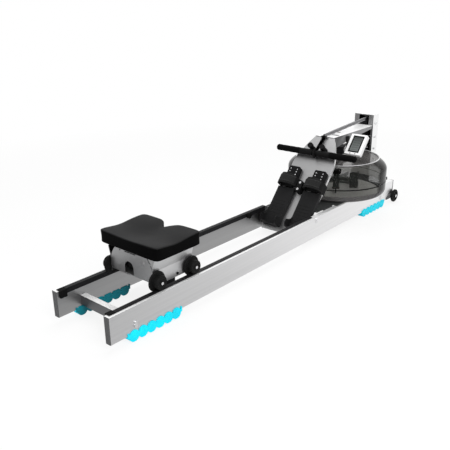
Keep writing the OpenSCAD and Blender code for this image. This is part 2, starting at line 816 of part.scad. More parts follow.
// Drum with a strap groove above a narrow cord spool, on a one-way clutch
module clutch_drum() {
    low = cord_z - cord_r - 5 - tank_z;
    strap_low = spool_z - spool_h / 2 - tank_z;
    color(black) on_tank() difference() {
        union() {
            translate([0, 0, low]) cylinder(r = cord_spool_r + 9, h = 3);
            translate([0, 0, low]) cylinder(r = cord_spool_r, h = strap_low - low + 1);
            translate([0, 0, strap_low - 3]) cylinder(r = spool_r + 8, h = 3);
            translate([0, 0, strap_low - 1]) cylinder(r = spool_r, h = spool_h + 2);
            translate([0, 0, strap_low + spool_h]) cylinder(r = spool_r + 8, h = 3);
        }
        translate([0, 0, low - 1]) cylinder(r = shaft_r + fit, h = 120);
    }
}

module fill_plug() {
    color(black) on_tank() translate([plug_x, plug_y, 0]) {
        translate([0, 0, tank_h + 4 + rest_gap]) cylinder(r = plug_r + 6, h = 5);
        translate([0, 0, tank_h - 8]) cylinder(r = plug_r + 0.5, h = 13);
        translate([-9, -2.5, tank_h + 9]) cube([18, 5, 7]);
    }
}

// Grooved pulley that turns about y
module pulley(x, z, y, half, r, rim) {
    difference() {
        union() {
            rod_y(x, z, r, y - half, y + half);
            rod_y(x, z, r + rim, y - half - 2, y - half);
            rod_y(x, z, r + rim, y + half, y + half + 2);
        }
        rod_y(x, z, axle_r + fit, y - half - 3, y + half + 3);
    }
}

module strap_pulley() {
    color(black) rail_frame() pulley(pulley_x, top_pulley_z, 0, strap_w / 2 + 1, pulley_r, 4);
}

module turn_pulley() {
    color(black) rail_frame() pulley(pulley_x, turn_pulley_z, 0, strap_w / 2 + 1, pulley_r, 4);
}

module cord_pulley(z) {
    color(black) rail_frame() pulley(pulley_x, z, cord_y, cord_r + 0.6, cord_pulley_r, 5);
}

module bungee_pulley_upper() { cord_pulley(upper_cord_z); }

module bungee_pulley_lower() { cord_pulley(lower_cord_z); }

// Axle bolts of the pulleys across the post, and of the transport wheels
module axle_bolts() {
    half = riser_w / 2;
    color(steel) rail_frame() {
        for (z = [top_pulley_z, turn_pulley_z, upper_cord_z, lower_cord_z]) {
            rod_y(pulley_x, z, axle_r, -half, half);
            rod_y(pulley_x, z, axle_r + 3, -half - 4, -half);
            rod_y(pulley_x, z, axle_r + 3, half, half + 4);
        }
        both_sides() {
            rod_y(tw_x, tw_z, bolt_r, outer_y - 11.7, tw_y + tw_w + 1);
            rod_y(tw_x, tw_z, bolt_r + 4, tw_y + tw_w + rest_gap, tw_y + tw_w + 4);
        }
    }
}

// Transport wheel: a tyre with a rounded tread on a spoked hub
module transport_wheel() {
    rail_frame() translate([tw_x, tw_y, tw_z]) rotate([-90, 0, 0]) difference() {
        rotate_extrude() polygon([[bolt_r + fit, 0], [tw_r - 5, 0], [tw_r, 4], [tw_r, tw_w - 4],
            [tw_r - 5, tw_w], [tw_r - 10, tw_w], [tw_r - 11, tw_w - 3], [bolt_r + 6, tw_w - 3],
            [bolt_r + 5, tw_w], [bolt_r + fit, tw_w]]);
        for (a = [0:72:288]) rotate([0, 0, a]) translate([tw_r * 0.5, 0, -1])
            cylinder(r = tw_r * 0.15, h = tw_w + 2);
    }
}

module transport_wheel_left() { color(rubber) transport_wheel(); }

module transport_wheel_right() { color(rubber) mirror_y() transport_wheel(); }

// Handle, its two foam grips and the strap that loops round it
module at_handle() { on_board() translate([handle_s, 0, handle_off]) children(); }

module handle_bar() {
    color(black) at_handle() {
        difference() {
            rod_y(0, 0, 12, 4 - handle_l / 2, handle_l / 2 - 4);
            rod_y(0, 0, 10, -handle_l, handle_l);
        }
        for (y = [-sleeve_half, 14]) difference() {
            rod_y(0, 0, grip_r - 0.5, y, y + sleeve_half - 14);
            rod_y(0, 0, 11.9, y - 1, y + sleeve_half);
        }
    }
}

module handle_grips() {
    color(rubber) at_handle() both_sides() rotate([-90, 0, 0]) rotate_extrude() polygon(concat(
        [[12, sleeve_half], [grip_r - 1, sleeve_half], [grip_r, sleeve_half + 2]],
        arc(grip_r - 9, handle_l / 2 - 9, 9, 9, 0, 90, 6),
        [[0, handle_l / 2], [0, handle_l / 2 - 3.9], [12, handle_l / 2 - 3.9]]));
}

link_s = board_l - 6;
link_dir = [link_s - handle_s, link_off - handle_off];
link_len = norm(link_dir);
link_turn = atan2(link_dir[1], link_dir[0]);
link_r = 2.5;

module strap_leader() {
    color(black) at_handle() rotate([0, -link_turn, 0]) difference() {
        union() {
            rod_y(0, 0, 15, -13.5, 13.5);
            block([8, -strap_w / 2, -1.5], [link_len - 2.8, strap_w / 2, 1.5]);
            rod_y(link_len, 0, link_r + 1.4, -strap_w / 2, strap_w / 2);
        }
        rod_y(0, 0, 12, -14, 14);
        rod_y(link_len, 0, link_r + fit, -14, 14);
    }
}

module strap_link() {
    side = strap_w / 2 + 0.6;
    color(black) on_board() translate([link_s, 0, link_off]) rotate([0, -link_turn, 0]) {
        rod_y(0, 0, link_r, -side - 3, side + 3);
        block([4.4, -side - 3, -2.5], [6.5, side + 3, 2.5]);
        both_sides() block([-link_r, side, -2.5], [6.5, side + 3.4, 2.5]);
    }
}

// Centre line of the strap: link, over the top pulley, down, under the turn pulley, to the drum
function link_point() = [board_at + (link_s + 7.7) * cos(board_angle) - (link_off + 1) * sin(board_angle),
    (link_s + 7.7) * sin(board_angle) + (link_off + 1) * cos(board_angle)];
function strap_route() = let (a = link_point(), c = [pulley_x, top_pulley_z], d = a - c,
    turn = acos(wrap_r / norm(d)), start = 180 - atan2(d[1], -d[0]) - turn) concat(
    [[a[0], 0, a[1], 0]],
    [for (i = [0:8]) let (t = start * (1 - i / 8)) [c[0] + wrap_r * cos(t), 0, c[1] + wrap_r * sin(t), 0]],
    [for (i = [0:6]) let (t = -90 * i / 6)
        [pulley_x + wrap_r * cos(t), 0, turn_pulley_z + wrap_r * sin(t), 0]],
    [for (i = [1:15]) let (u = i / 15, far = pulley_x - 30 - tank_mid, wind = spool_r + 1.5,
        lean = asin(wind / far)) [pulley_x - 30 + (wind * sin(lean) - far) * u,
            wind * cos(lean) * u, spool_z, 90 * min(1, 1.25 * u)]]);

// Flat band along a route whose fourth number is its twist
module band(route, w, t) {
    n = len(route);
    pts = [for (i = [0:n - 1]) let (
        p = [route[i][0], route[i][1], route[i][2]],
        q = route[min(i + 1, n - 1)], r = route[max(i - 1, 0)],
        f = unit([q[0] - r[0], q[1] - r[1], q[2] - r[2]]),
        side = unit(cross([0, -1, 0], f)), wide = cross(f, side),
        tw = route[i][3], a = wide * cos(tw) + side * sin(tw), b = side * cos(tw) - wide * sin(tw))
        for (k = [[-1, -1], [1, -1], [1, 1], [-1, 1]]) p + a * k[0] * w / 2 + b * k[1] * t / 2];
    sides = [for (i = [0:n - 2], k = [0:3]) let (m = (k + 1) % 4, o = 4 * i)
        each k == 2 ? [[o + k, o + m, o + 4 + k], [o + m, o + 4 + m, o + 4 + k]]
            : [[o + k, o + m, o + 4 + m], [o + k, o + 4 + m, o + 4 + k]]];
    polyhedron(pts, concat([[3, 2, 1], [3, 1, 0]], sides,
        [[4 * n - 4, 4 * n - 3, 4 * n - 2], [4 * n - 4, 4 * n - 2, 4 * n - 1]]));
}

module drive_strap() { color(webbing) rail_frame() band(strap_route(), strap_w, strap_t); }

// Round tube along a list of points
module tube(path, r, sides) {
    n = len(path);
    dirs = [for (i = [0:n - 1]) unit(path[min(i + 1, n - 1)] - path[max(i - 1, 0)])];
    pts = [for (i = [0:n - 1]) let (f = dirs[i], u = unit(cross(f, [0.31, 0.9, 0.3])), v = cross(f, u))
        for (k = [0:sides - 1]) let (a = 360 * k / sides) path[i] + r * (u * cos(a) + v * sin(a))];
    walls = [for (i = [0:n - 2], k = [0:sides - 1]) let (m = (k + 1) % sides, o = i * sides)
        each [[o + m, o + k, o + sides + k], [o + m, o + sides + k, o + sides + m]]];
    ends = [for (k = [1:sides - 2]) each [[0, k, k + 1],
        [(n - 1) * sides, (n - 1) * sides + k + 1, (n - 1) * sides + k]]];
    polyhedron(pts, concat(walls, ends));
}

// Recoil cord: from the spool, over the upper cord pulley, round the lower one, to the tray
function cord_route() = concat(
    [for (i = [0:4]) [tank_mid + (pulley_x - 4 - tank_mid) * i / 4,
        cord_start_y + (cord_y - cord_start_y) * i / 4, cord_z]],
    [for (i = [0:5]) let (t = 90 - 90 * i / 5)
        [pulley_x + cord_wrap * cos(t), cord_y, upper_cord_z + cord_wrap * sin(t)]],
    [for (i = [0:5]) let (t = -90 * i / 5)
        [pulley_x + cord_wrap * cos(t), cord_y, lower_cord_z + cord_wrap * sin(t)]],
    [for (i = [1:6]) [pulley_x - 4 + (tray_x - 8 - pulley_x + 4) * i / 6, cord_y,
        lower_cord_z - cord_wrap]]);

module bungee_cord() {
    color(black) rail_frame() {
        tube(cord_route(), cord_r, 8);
        rod_x(tray_x - 14, tray_x - 0.01, cord_y, lower_cord_z - cord_wrap, cord_r + 4);
    }
}

// Lead of the speed pickup, with the pickup on the lid and a grommet on the deck
module sensor_cable() {
    color(black) on_tank() translate([0, 0, tank_h + 3]) {
        block([-50, -70, 0], [-26, -54, 12]);
        tube(lead_path, lead_r, 8);
        translate([-112, -deck_half - 0.02, 65]) rotate([90, 0, 0]) cylinder(r = 5, h = 3);
    }
}

// Monitor's frame: x down the face, z out of it
module on_monitor() {
    rail_frame() translate([mon_x, mon_y, mon_z]) rotate([0, -mon_angle, 0])
        rotate([0, 0, 180]) children();
}

module monitor_ears() {
    for (y = [-14, 8]) difference() {
        union() {
            block([-8, y, -hinge_back], [8, y + 6, 1 - mon_t]);
            rod_y(0, -hinge_back, 8, y, y + 6);
        }
        rod_y(0, -hinge_back, hinge_r + fit, y - 1, y + 7);
    }
}

module monitor_housing() {
    w = mon_w / 2;
    h = mon_h / 2;
    color(white) on_monitor() {
        difference() {
            union() {
                block([-h + 4, -w, -mon_t], [h - 4, w, 0]);
                block([-h, 4 - w, -mon_t], [h, w - 4, 0]);
                for (x = [4 - h, h - 4], y = [4 - w, w - 4])
                    translate([x, y, -mon_t]) cylinder(r = 4, h = mon_t);
            }
            block([9 - h, 14 - w, -mon_lid], [h - 12, w - 14, 1]);
            for (y = [-14, 14]) translate([h - 6, y, -5]) cylinder(r = button_r + 0.3, h = 6);
        }
        monitor_ears();
    }
}

module monitor_screen() {
    w = mon_w / 2 - 14;
    color([0.35, 0.38, 0.36]) on_monitor()
        block([9 - mon_h / 2, -w, -mon_lid], [mon_h / 2 - 12, w, -0.8]);
}

module mon_button(y) {
    color([0.6, 0.6, 0.6]) on_monitor() translate([mon_h / 2 - 6, y, -2.7])
        cylinder(r = button_r, h = 3.7);
}

module button_left() { mon_button(-14); }

module button_right() { mon_button(14); }

// Arm from the deck's side to the monitor's hinge, with the hinge pin
module monitor_bracket() {
    hx = hinge_back * sin(mon_angle);
    hz = -hinge_back * cos(mon_angle);
    color(black) rail_frame() translate([mon_x + hx, 0, mon_z + hz]) {
        block([-12, -deck_half - 5, -10], [12, -deck_half, deck_top - mon_z - hz - 14]);
        rod_y(0, 0, hinge_r, mon_y - 20, -deck_half - 4);
        rod_y(0, 0, hinge_r + 3, mon_y + 15, -deck_half - 4);
        rod_y(0, 0, hinge_r + 3, mon_y - 21, mon_y - 14.8);
    }
}

// Cushion outline at angle a, with a notch in the middle of the front edge
function corner_reach(a) = let (hx = cushion_l / 2, hy = cushion_w / 2, c = cos(a), s = sin(a),
    n = 20) 1 / pow(pow(abs(c) / hx, n) + pow(abs(s) / hy, n), 1 / n);
function cushion_edge(a) = let (r = corner_reach(a), y = r * sin(a))
    cos(a) > 0 ? r - notch_l * exp(-pow(y / 30, 2)) : r;
function cushion_top(x, y) = let (u = x / cushion_l * 2, v = y / cushion_w * 2)
    cushion_h - 7 * exp(-pow((u + 0.15) / 0.5, 2)) * pow(abs(v), 2)
    - 13 * exp(-pow((u + 0.2) / 0.75, 2) - pow(v / 0.62, 2))
    - 5 * exp(-pow(y / 34, 2)) * max(u, 0);

// Cushion as rings from the flat bottom, up the drawn-in sides, over the edge to the middle
module seat_cushion() {
    n = 72;
    low = [[0.975, 0], [0.995, 0.06], [0.985, 0.45], [1, 0.86]];
    top = [[0.985, -2], [0.95, -0.5], [0.85, 0], [0.7, 0], [0.5, 0], [0.28, 0]];
    rings = concat(
        [for (l = low) [for (i = [0:n - 1]) let (a = 360 * i / n, r = cushion_edge(a) * l[0])
            [r * cos(a), r * sin(a), l[1] * cushion_top(r * cos(a), r * sin(a))]]],
        [for (l = top) [for (i = [0:n - 1]) let (a = 360 * i / n, r = cushion_edge(a) * l[0])
            [r * cos(a), r * sin(a), cushion_top(r * cos(a), r * sin(a)) + l[1]]]]);
    m = len(rings);
    pts = concat([for (r = rings) each r], [[0, 0, 0], [0, 0, cushion_top(0, 0)]]);
    walls = [for (k = [0:m - 2], i = [0:n - 1]) let (j = (i + 1) % n, o = k * n)
        each [[o + j, o + i, o + n + i], [o + j, o + n + i, o + n + j]]];
    ends = [for (i = [0:n - 1]) let (j = (i + 1) % n, o = (m - 1) * n)
        each [[i, j, m * n], [o + j, o + i, m * n + 1]]];
    color(rubber) rail_frame() translate([seat_x, 0, pan_z + rest_gap])
        polyhedron(pts, concat(walls, ends));
}

// Section of the folded carriage sheet: pan, leaning upper facet, upright flange
function fold_half() = [[0, pan_z - sheet_t], [facet_y - sheet_t, pan_z - sheet_t],
    [flange_y - sheet_t, waist_z], [flange_y - sheet_t, flange_z], [flange_y, flange_z],
    [flange_y, waist_z], [facet_y, pan_z - sheet_t], [pan_half, pan_z - sheet_t],
    [pan_half, pan_z], [0, pan_z]];

module end_plate() {
    dome_z = pan_z - 90;
    rotate([90, 0, 90]) linear_extrude(3) difference() {
        intersection() {
            translate([0, dome_z]) circle(r = flange_y + 5.5);
            polygon([[1 - flange_y, waist_z - 44], [1 - flange_y, waist_z],
                [1 - facet_y, pan_z - sheet_t], [facet_y - 1, pan_z - sheet_t],
                [flange_y - 1, waist_z], [flange_y - 1, waist_z - 44]]);
        }
        translate([12, waist_z - 16]) circle(r = 24);
        translate([-12, waist_z - 44]) square([48, 24]);
        translate([-28, pan_z - 13]) square([60, 4]);
        translate([-74, pan_z - 40]) square([14, 14]);
        translate([58, pan_z - 12]) circle(r = 3);
    }
}

module seat_carriage() {
    x0 = seat_x - carriage_l / 2;
    x1 = seat_x + carriage_l / 2;
    color(alloy) rail_frame() difference() {
        union() {
            both_sides() translate([x0, 0, 0]) rotate([90, 0, 90]) linear_extrude(carriage_l)
                polygon(fold_half());
            translate([x0 + 1, 0, 0]) end_plate();
            translate([x1 - 4, 0, 0]) end_plate();
            block([x0 + 1, 1 - flange_y, waist_z - 44], [x0 + 41, flange_y - 1, waist_z - 41]);
            block([x1 - 41, 1 - flange_y, waist_z - 44], [x1 - 1, flange_y - 1, waist_z - 41]);
        }
        for (x = [rear_wheel_x, front_wheel_x])
            rod_y(x, wheel_z, axle_r + hole_gap, -facet_y - 9, facet_y + 9);
        rod_y(seat_x + 22, flange_z + 12, 3 + hole_gap, -facet_y, facet_y);
        for (x = [x0, x1], y = [-1, 1] * pan_half) translate([x, y, pan_z - sheet_t - 1])
            rotate([0, 0, 45]) cube([pan_chamfer, pan_chamfer, 4 * sheet_t + 4], center = true);
    }
}

// Glide blocks under the flanges that keep the seat from lifting off, with their screws
module seat_keepers() {
    color(black) both_sides() rail_frame() {
        block([seat_x - keeper_back, flange_y - 15, track_z - lip_h - 16],
            [seat_x - keeper_back + keeper_l, flange_y - sheet_t, flange_z + 10]);
        block([seat_x - keeper_back, flange_y - 15, track_z - lip_h - 16],
            [seat_x - keeper_back + keeper_l, lip_y + 2, track_z - lip_h - 6]);
        rod_y(seat_x + 22, flange_z + 12, 5, flange_y, flange_y + 3);
        rod_y(seat_x + 22, flange_z + 12, 3, flange_y - 6, flange_y + 1);
    }
}

module wheel_bolt(x) {
    rod_y(x, wheel_z, axle_r, flange_y - 9, drum_out + 1);
    rod_y(x, wheel_z, axle_r + 4, flange_y, disc_in - rest_gap);
    rod_y(x, wheel_z, axle_r + 3, flange_y - 9, flange_y - sheet_t);
    rod_y(x, wheel_z, axle_r + 1.6, drum_out + rest_gap, drum_out + 2.8);
}

module seat_axle_bolts() {
    color(steel) both_sides() rail_frame() {
        wheel_bolt(rear_wheel_x);
        wheel_bolt(front_wheel_x);
    }
}

// Seat wheel: a guide disc inside the rail and a drum that rolls on the track
module seat_wheel(x) {
    rail_frame() translate([x, disc_in, wheel_z]) rotate([-90, 0, 0]) rotate_extrude() polygon([
        [axle_r + fit, 0], [disc_r - 3, 0], [disc_r, 2], [disc_r, disc_w - 2],
        [disc_r - 3, disc_w], [drum_r + 1, disc_w], [drum_r, disc_w + 1],
        [drum_r, disc_w + drum_w - 3], [drum_r - 3, disc_w + drum_w],
        [drum_r - 9, disc_w + drum_w], [drum_r - 11, disc_w + drum_w - 2],
        [axle_r + 4, disc_w + drum_w - 2], [axle_r + 4, disc_w + drum_w],
        [axle_r + fit, disc_w + drum_w]]);
}

module seat_wheel_rear_left() { color(rubber) seat_wheel(rear_wheel_x); }

module seat_wheel_rear_right() { color(rubber) mirror_y() seat_wheel(rear_wheel_x); }

module seat_wheel_front_left() { color(rubber) seat_wheel(front_wheel_x); }

module seat_wheel_front_right() { color(rubber) mirror_y() seat_wheel(front_wheel_x); }

rail_left();
rail_right();
rail_end_caps();
track_left();
track_right();
seat_stops();
rear_crossmember();
front_crossmember();
tank_tray();
frame_bolts();
feet_rear();
feet_front();
footboard();
footrest_left();
footrest_right();
toe_strap_left();
toe_strap_right();
footrest_screws();
top_deck();
riser();
handle_pegs();
tank_base();
tank_lid();
tank_gasket();
tank_band();
water();
axle_bolts();
impeller_bearings();
monitor_bracket();
sensor_cable();
bungee_cord();
transport_wheel_left();
transport_wheel_right();
heel_rest_left();
heel_rest_right();
handle_bar();
handle_grips();
strap_leader();
strap_link();
drive_strap();
strap_pulley();
turn_pulley();
bungee_pulley_upper();
bungee_pulley_lower();
clutch_drum();
impeller();
impeller_shaft();
monitor_housing();
monitor_screen();
button_left();
button_right();
fill_plug();
seat_cushion();
seat_carriage();
seat_keepers();
seat_axle_bolts();
seat_wheel_rear_left();
seat_wheel_rear_right();
seat_wheel_front_left();
seat_wheel_front_right();
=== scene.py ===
"""Finishes and soft pieces of a water rowing machine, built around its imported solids."""

import math
from fnmatch import fnmatch
from functools import cache

import bpy
import numpy as np
from bpy.props import FloatProperty, FloatVectorProperty, PointerProperty
from mathutils import Matrix, Vector


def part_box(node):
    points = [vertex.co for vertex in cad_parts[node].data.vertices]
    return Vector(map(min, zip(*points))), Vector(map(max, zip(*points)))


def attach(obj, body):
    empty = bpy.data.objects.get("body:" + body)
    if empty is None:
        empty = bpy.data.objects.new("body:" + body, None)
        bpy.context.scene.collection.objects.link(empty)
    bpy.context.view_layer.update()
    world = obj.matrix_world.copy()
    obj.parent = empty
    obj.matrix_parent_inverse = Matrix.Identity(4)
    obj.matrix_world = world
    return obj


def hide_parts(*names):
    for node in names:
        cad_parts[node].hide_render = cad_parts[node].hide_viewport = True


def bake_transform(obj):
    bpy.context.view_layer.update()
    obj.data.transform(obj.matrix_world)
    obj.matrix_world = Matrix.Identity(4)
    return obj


bl_info = {
    "name": "Water rowing machine",
    "version": (1, 0, 0),
    "blender": (4, 5, 0),
    "location": "3D View > Sidebar > Rower",
    "description": "Finishes, cushion, straps and tank of a water rowing machine",
    "category": "Object",
}

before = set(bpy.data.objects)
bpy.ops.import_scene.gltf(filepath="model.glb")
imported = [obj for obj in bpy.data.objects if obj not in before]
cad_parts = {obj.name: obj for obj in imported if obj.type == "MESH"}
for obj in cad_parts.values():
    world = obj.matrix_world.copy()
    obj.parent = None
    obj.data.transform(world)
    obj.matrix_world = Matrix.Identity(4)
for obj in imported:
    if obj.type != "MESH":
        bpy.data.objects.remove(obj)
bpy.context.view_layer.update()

# Rail frame: x from the rails' rear end, z from the rails' bottom, in metres
RAIL_LOW, RAIL_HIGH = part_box("rail_left")
REAR_X, RAIL_Z = RAIL_LOW.x, RAIL_LOW.z
RAIL_ORIGIN = np.array([REAR_X, 0.0, RAIL_Z])
ACROSS = np.array([0, 1.0, 0])
SIDES = (("left", 1), ("right", -1))

# Places along the rails, in millimetres: the board's foot, the tank's axis and the pulleys' axes
BOARD_AT, TANK_AT, PULLEY_AT = 1190.0, 1688.0, 1988.0
BOARD_ANGLE = math.radians(49)
BOARD_FOOT = RAIL_ORIGIN + [BOARD_AT / 1000, 0, 0]
UP_BOARD = np.array([math.cos(BOARD_ANGLE), 0.0, math.sin(BOARD_ANGLE)])
OFF_BOARD = np.array([-math.sin(BOARD_ANGLE), 0.0, math.cos(BOARD_ANGLE)])
TANK_X, TANK_Z = REAR_X + TANK_AT / 1000, RAIL_Z + 0.1036
LID_Z = TANK_Z + 0.187

# A mask starts this far inside the face that it is for
FACE = 0.0006
# Greys painted on as light on the faces that look up or out at the lamps, and painted as shade on the faces
# inside a channel
PAINTED_LIGHT_GREY, PAINTED_SHADE_GREY = 0.95, 0.012

# Camera fitted to the photograph: yaw, pitch and roll in degrees, place, and focal length in pixels
CAMERA_TURN = (40.82, 20.51, -0.63)
CAMERA_PLACE = (-2.0555, -1.5281, 1.069)
FOCAL_PIXELS, PHOTO_PIXELS, SENSOR = 582.0, 450.0, 36.0


# ---- sizes and colours

def size(text, default):
    """A length in metres that a user may change."""
    return FloatProperty(name=text, default=default, min=0.0, unit="LENGTH", precision=4)


def tint(text, default):
    """A colour that a user may change."""
    return FloatVectorProperty(name=text, default=default, size=3, min=0.0, max=1.0, subtype="COLOR")


class RowerSizes(bpy.types.PropertyGroup):
    """Lengths of the pieces that this file shapes."""
    cushion_length: size("Cushion's length along the rails", 0.228)
    cushion_width: size("Cushion's width", 0.316)
    cushion_height: size("Cushion's height at its corners", 0.051)
    notch_depth: size("Depth of the notch in the cushion's front edge", 0.046)
    grip_radius: size("Foam grips' radius", 0.016)
    handle_length: size("Handle's length from end to end", 0.458)
    strap_width: size("Handle strap's width", 0.020)
    leader_width: size("Width of the leader that holds the handle", 0.025)
    toe_strap_width: size("Toe straps' width", 0.058)
    lead_radius: size("Speed pickup's lead, radius", 0.002)
    cord_radius: size("Recoil cord's radius", 0.004)
    display_length: size("Display's length", 0.080)
    display_width: size("Display's width", 0.047)
    round_edge: size("Radius at which the metal's edges catch the light", 0.0009)


class RowerColours(bpy.types.PropertyGroup):
    """Colours of the finishes."""
    steel: tint("Brushed sheet of the board, deck and post", (0.41, 0.41, 0.413))
    rail: tint("Brushed rails", (0.80, 0.80, 0.81))
    feet: tint("Rubber feet", (0.0, 0.72, 0.90))
    plastic: tint("Moulded footrests", (0.007, 0.007, 0.0072))
    cushion: tint("Skin of the seat cushion", (0.0085, 0.0085, 0.0088))
    foam: tint("Foam grips", (0.0035, 0.0035, 0.0035))
    webbing: tint("Handle strap", (0.17, 0.17, 0.175))
    smoke: tint("Smoked shells of the tank", (0.013, 0.012, 0.011))
    monitor: tint("Case of the monitor", (0.86, 0.86, 0.86))
    screen: tint("Display of the monitor", (0.115, 0.125, 0.122))


def sizes():
    return bpy.context.scene.rower_sizes


def colours():
    return bpy.context.scene.rower_colours


# ---- surfaces

def piece(name, verts, faces, uv=None, smooth_angle=40.0):
    """A mesh object at the origin. uv holds one pair per vertex. Faces are turned outwards by the sign
    of the enclosed volume, the sum of a . (b x c) / 6 over the faces' triangles."""
    verts = np.asarray(verts, float).reshape(-1, 3)
    faces = [list(map(int, f)) for f in faces]
    volume = 0.0
    for count in {len(f) for f in faces}:
        corners = verts[np.array([f for f in faces if len(f) == count])] - verts.mean(0)
        for k in range(1, count - 1):
            volume += (corners[:, 0] * np.cross(corners[:, k], corners[:, k + 1])).sum()
    if volume < 0:
        faces = [f[::-1] for f in faces]
    mesh = bpy.data.meshes.new(name)
    mesh.from_pydata(verts, [], faces)
    if uv is not None:
        layer = mesh.uv_layers.new(name="UVMap")
        loops = np.empty(len(mesh.loops), int)
        mesh.loops.foreach_get("vertex_index", loops)
        layer.data.foreach_set("uv", np.asarray(uv, float)[loops].ravel())
    mesh.polygons.foreach_set("use_smooth", np.ones(len(mesh.polygons), bool))
    mesh.set_sharp_from_angle(angle=math.radians(smooth_angle))
    mesh.update()
    obj = bpy.data.objects.new(name, mesh)
    bpy.context.scene.collection.objects.link(obj)
    return obj


def strip_faces(nu, nv, closed=False):
    """Quads between neighbours of an nu by nv grid of points. The grid is wrapped round along v, and also
    along u where it is closed."""
    idx = np.arange(nu * nv).reshape(nu, nv)
    here = idx if closed else idx[:-1]
    after = np.roll(idx, -1, 0) if closed else idx[1:]
    return np.stack([here, np.roll(here, -1, 1), np.roll(after, -1, 1), after], -1).reshape(-1, 4)


def turned(name, profile, centre, axis, steps, smooth_angle=40.0):
    """A turned form about Y or X: each profile point (radius, height) goes round as
    radius * (cos t, sin t)."""
    profile = np.asarray(profile, float)
    t = np.linspace(0, 2 * np.pi, steps, endpoint=False)
    r, h = profile[:, 0][:, None], profile[:, 1][:, None]
    order = [1, 2, 0] if axis == "Y" else [2, 0, 1]
    p = np.stack([r * np.cos(t), r * np.sin(t), h + 0 * t], -1)[..., order]
    faces = strip_faces(len(profile), steps, closed=True)
    uv = np.stack(np.broadcast_arrays(t / (2 * np.pi), np.linspace(0, 1, len(profile))[:, None]), -1)
    return piece(name, (p + np.array(centre)).reshape(-1, 3), faces, uv.reshape(-1, 2), smooth_angle)


def lofted(name, rings, smooth_angle=40.0, uv=None):
    """Rings of points, one after the other along a form, skinned with quads and closed by a flat face at
    each end. rings has the shape (count, points, 3)."""
    nu, nv = rings.shape[:2]
    faces = [list(f) for f in strip_faces(nu, nv)]
    faces.append(list(range(nv))[::-1])
    faces.append(list(range((nu - 1) * nv, nu * nv)))
    return piece(name, rings.reshape(-1, 3), faces, uv, smooth_angle)


def arc(x, z, radius, t):
    """Points at the angles t round (x, z)."""
    return np.stack([x + radius * np.cos(t), z + radius * np.sin(t)], -1)


def rounded_outline(width, height, radius, steps=6):
    """Points of a rectangle with round corners, and the outward unit normal at each point."""
    a = np.concatenate([np.linspace(q, q + 90, steps + 1) for q in (0, 90, 180, 270)])
    n = arc(0, 0, 1, np.radians(a))
    k = np.repeat(np.arange(4), steps + 1)
    corner = np.array([[1, 1], [-1, 1], [-1, -1], [1, -1]])[k] * [width / 2 - radius, height / 2 - radius]
    return corner + n * radius, n


def band_section(thick, width, radius):
    """A band's section, with its width along the first direction."""
    return rounded_outline(thick, width, radius, 3)[0][:, ::-1]


def slab(name, width, height, depth, radius, edge, corner, steps=5):
    """A plate with round corners and rounded edges: its outline is drawn in by edge * (1 - cos t) while it
    rises by edge * sin t at the bottom, and likewise at the top."""
    outline, n = rounded_outline(width, height, radius)
    t = np.linspace(0, np.pi / 2, steps + 1)
    inset = np.concatenate([edge * (1 - np.sin(t)), edge * (1 - np.cos(t))])
    rise = np.concatenate([edge * (1 - np.cos(t)), depth - edge * (1 - np.sin(t))])
    rings = outline[None] - n[None] * inset[:, None, None]
    pts = np.concatenate([rings, np.broadcast_to(rise[:, None, None], rings.shape[:2] + (1,))], -1)
    return lofted(name, pts + corner)


def smooth_path(points, count):
    """Catmull-Rom curve through the points: each span is the cubic whose end slopes are half the
    difference of the neighbouring points."""
    p = np.asarray(points, float)
    p = np.concatenate([[2 * p[0] - p[1]], p, [2 * p[-1] - p[-2]]])
    u = np.linspace(0, len(p) - 3, count)
    i = np.minimum(u.astype(int), len(p) - 4)
    t = (u - i)[:, None]
    a, b, c, d = p[i], p[i + 1], p[i + 2], p[i + 3]
    square, cube = 2 * a - 5 * b + 4 * c - d, 3 * b - a - 3 * c + d
    return 0.5 * (2 * b + (c - a) * t + square * t ** 2 + cube * t ** 3)


def unit(v):
    """Each vector at a length of 1."""
    return v / np.linalg.norm(v, axis=1)[:, None]


def travelled(path):
    """Distance along a path at each of its points."""
    return np.concatenate([[0], np.cumsum(np.linalg.norm(np.diff(path, axis=0), axis=1))])


def along(path, section, up, name, twist=None):
    """A section carried along a path: each ring is path + x * side + y * lift, with side = up x direction
    and lift = direction x side, turned by twist about the direction. UV is metres along and across."""
    d = unit(np.gradient(path, axis=0))
    side = unit(np.cross(np.broadcast_to(up, d.shape), d))
    lift = np.cross(d, side)
    if twist is not None:
        c, s = np.cos(twist)[:, None], np.sin(twist)[:, None]
        side, lift = side * c + lift * s, lift * c - side * s
    rings = path[:, None] + side[:, None] * section[None, :, 0:1] + lift[:, None] * section[None, :, 1:2]
    uv = np.stack(np.broadcast_arrays(travelled(path)[:, None], section[:, 0]), -1).reshape(-1, 2)
    return lofted(name, rings, uv=uv)


def on_board(s, y, h):
    """Points in the row frame from s up the board, y across and h out of its face, in metres."""
    s, y, h = np.broadcast_arrays(np.asarray(s, float), np.asarray(y, float), np.asarray(h, float))
    return BOARD_FOOT + s[..., None] * UP_BOARD + h[..., None] * OFF_BOARD + y[..., None] * ACROSS


# ---- nodes

def linked(value):
    return isinstance(value, bpy.types.NodeSocket)


def feed(tree, sockets, values):
    """Links each value that is a socket, and sets the others."""
    for key, value in values.items():
        if linked(value):
            tree.links.new(value, sockets[key])
        else:
            sockets[key].default_value = value


def add(tree, kind, inputs=None, **settings):
    """A new shader node with its settings and its inputs' values or links."""
    n = tree.nodes.new("ShaderNode" + kind)
    for key, value in settings.items():
        setattr(n, key, value)
    feed(tree, n.inputs, inputs or {})
    return n


def maths(tree, operation, a, b=0.0, c=0.5, clamp=False):
    return add(tree, "Math", {0: a, 1: b, 2: c}, operation=operation, use_clamp=clamp).outputs[0]


def chain(tree, operation, first, *others):
    """The operation carried through all the values."""
    for other in others:
        first = maths(tree, operation, first, other)
    return first


def times(tree, *values):
    return chain(tree, "MULTIPLY", *values)


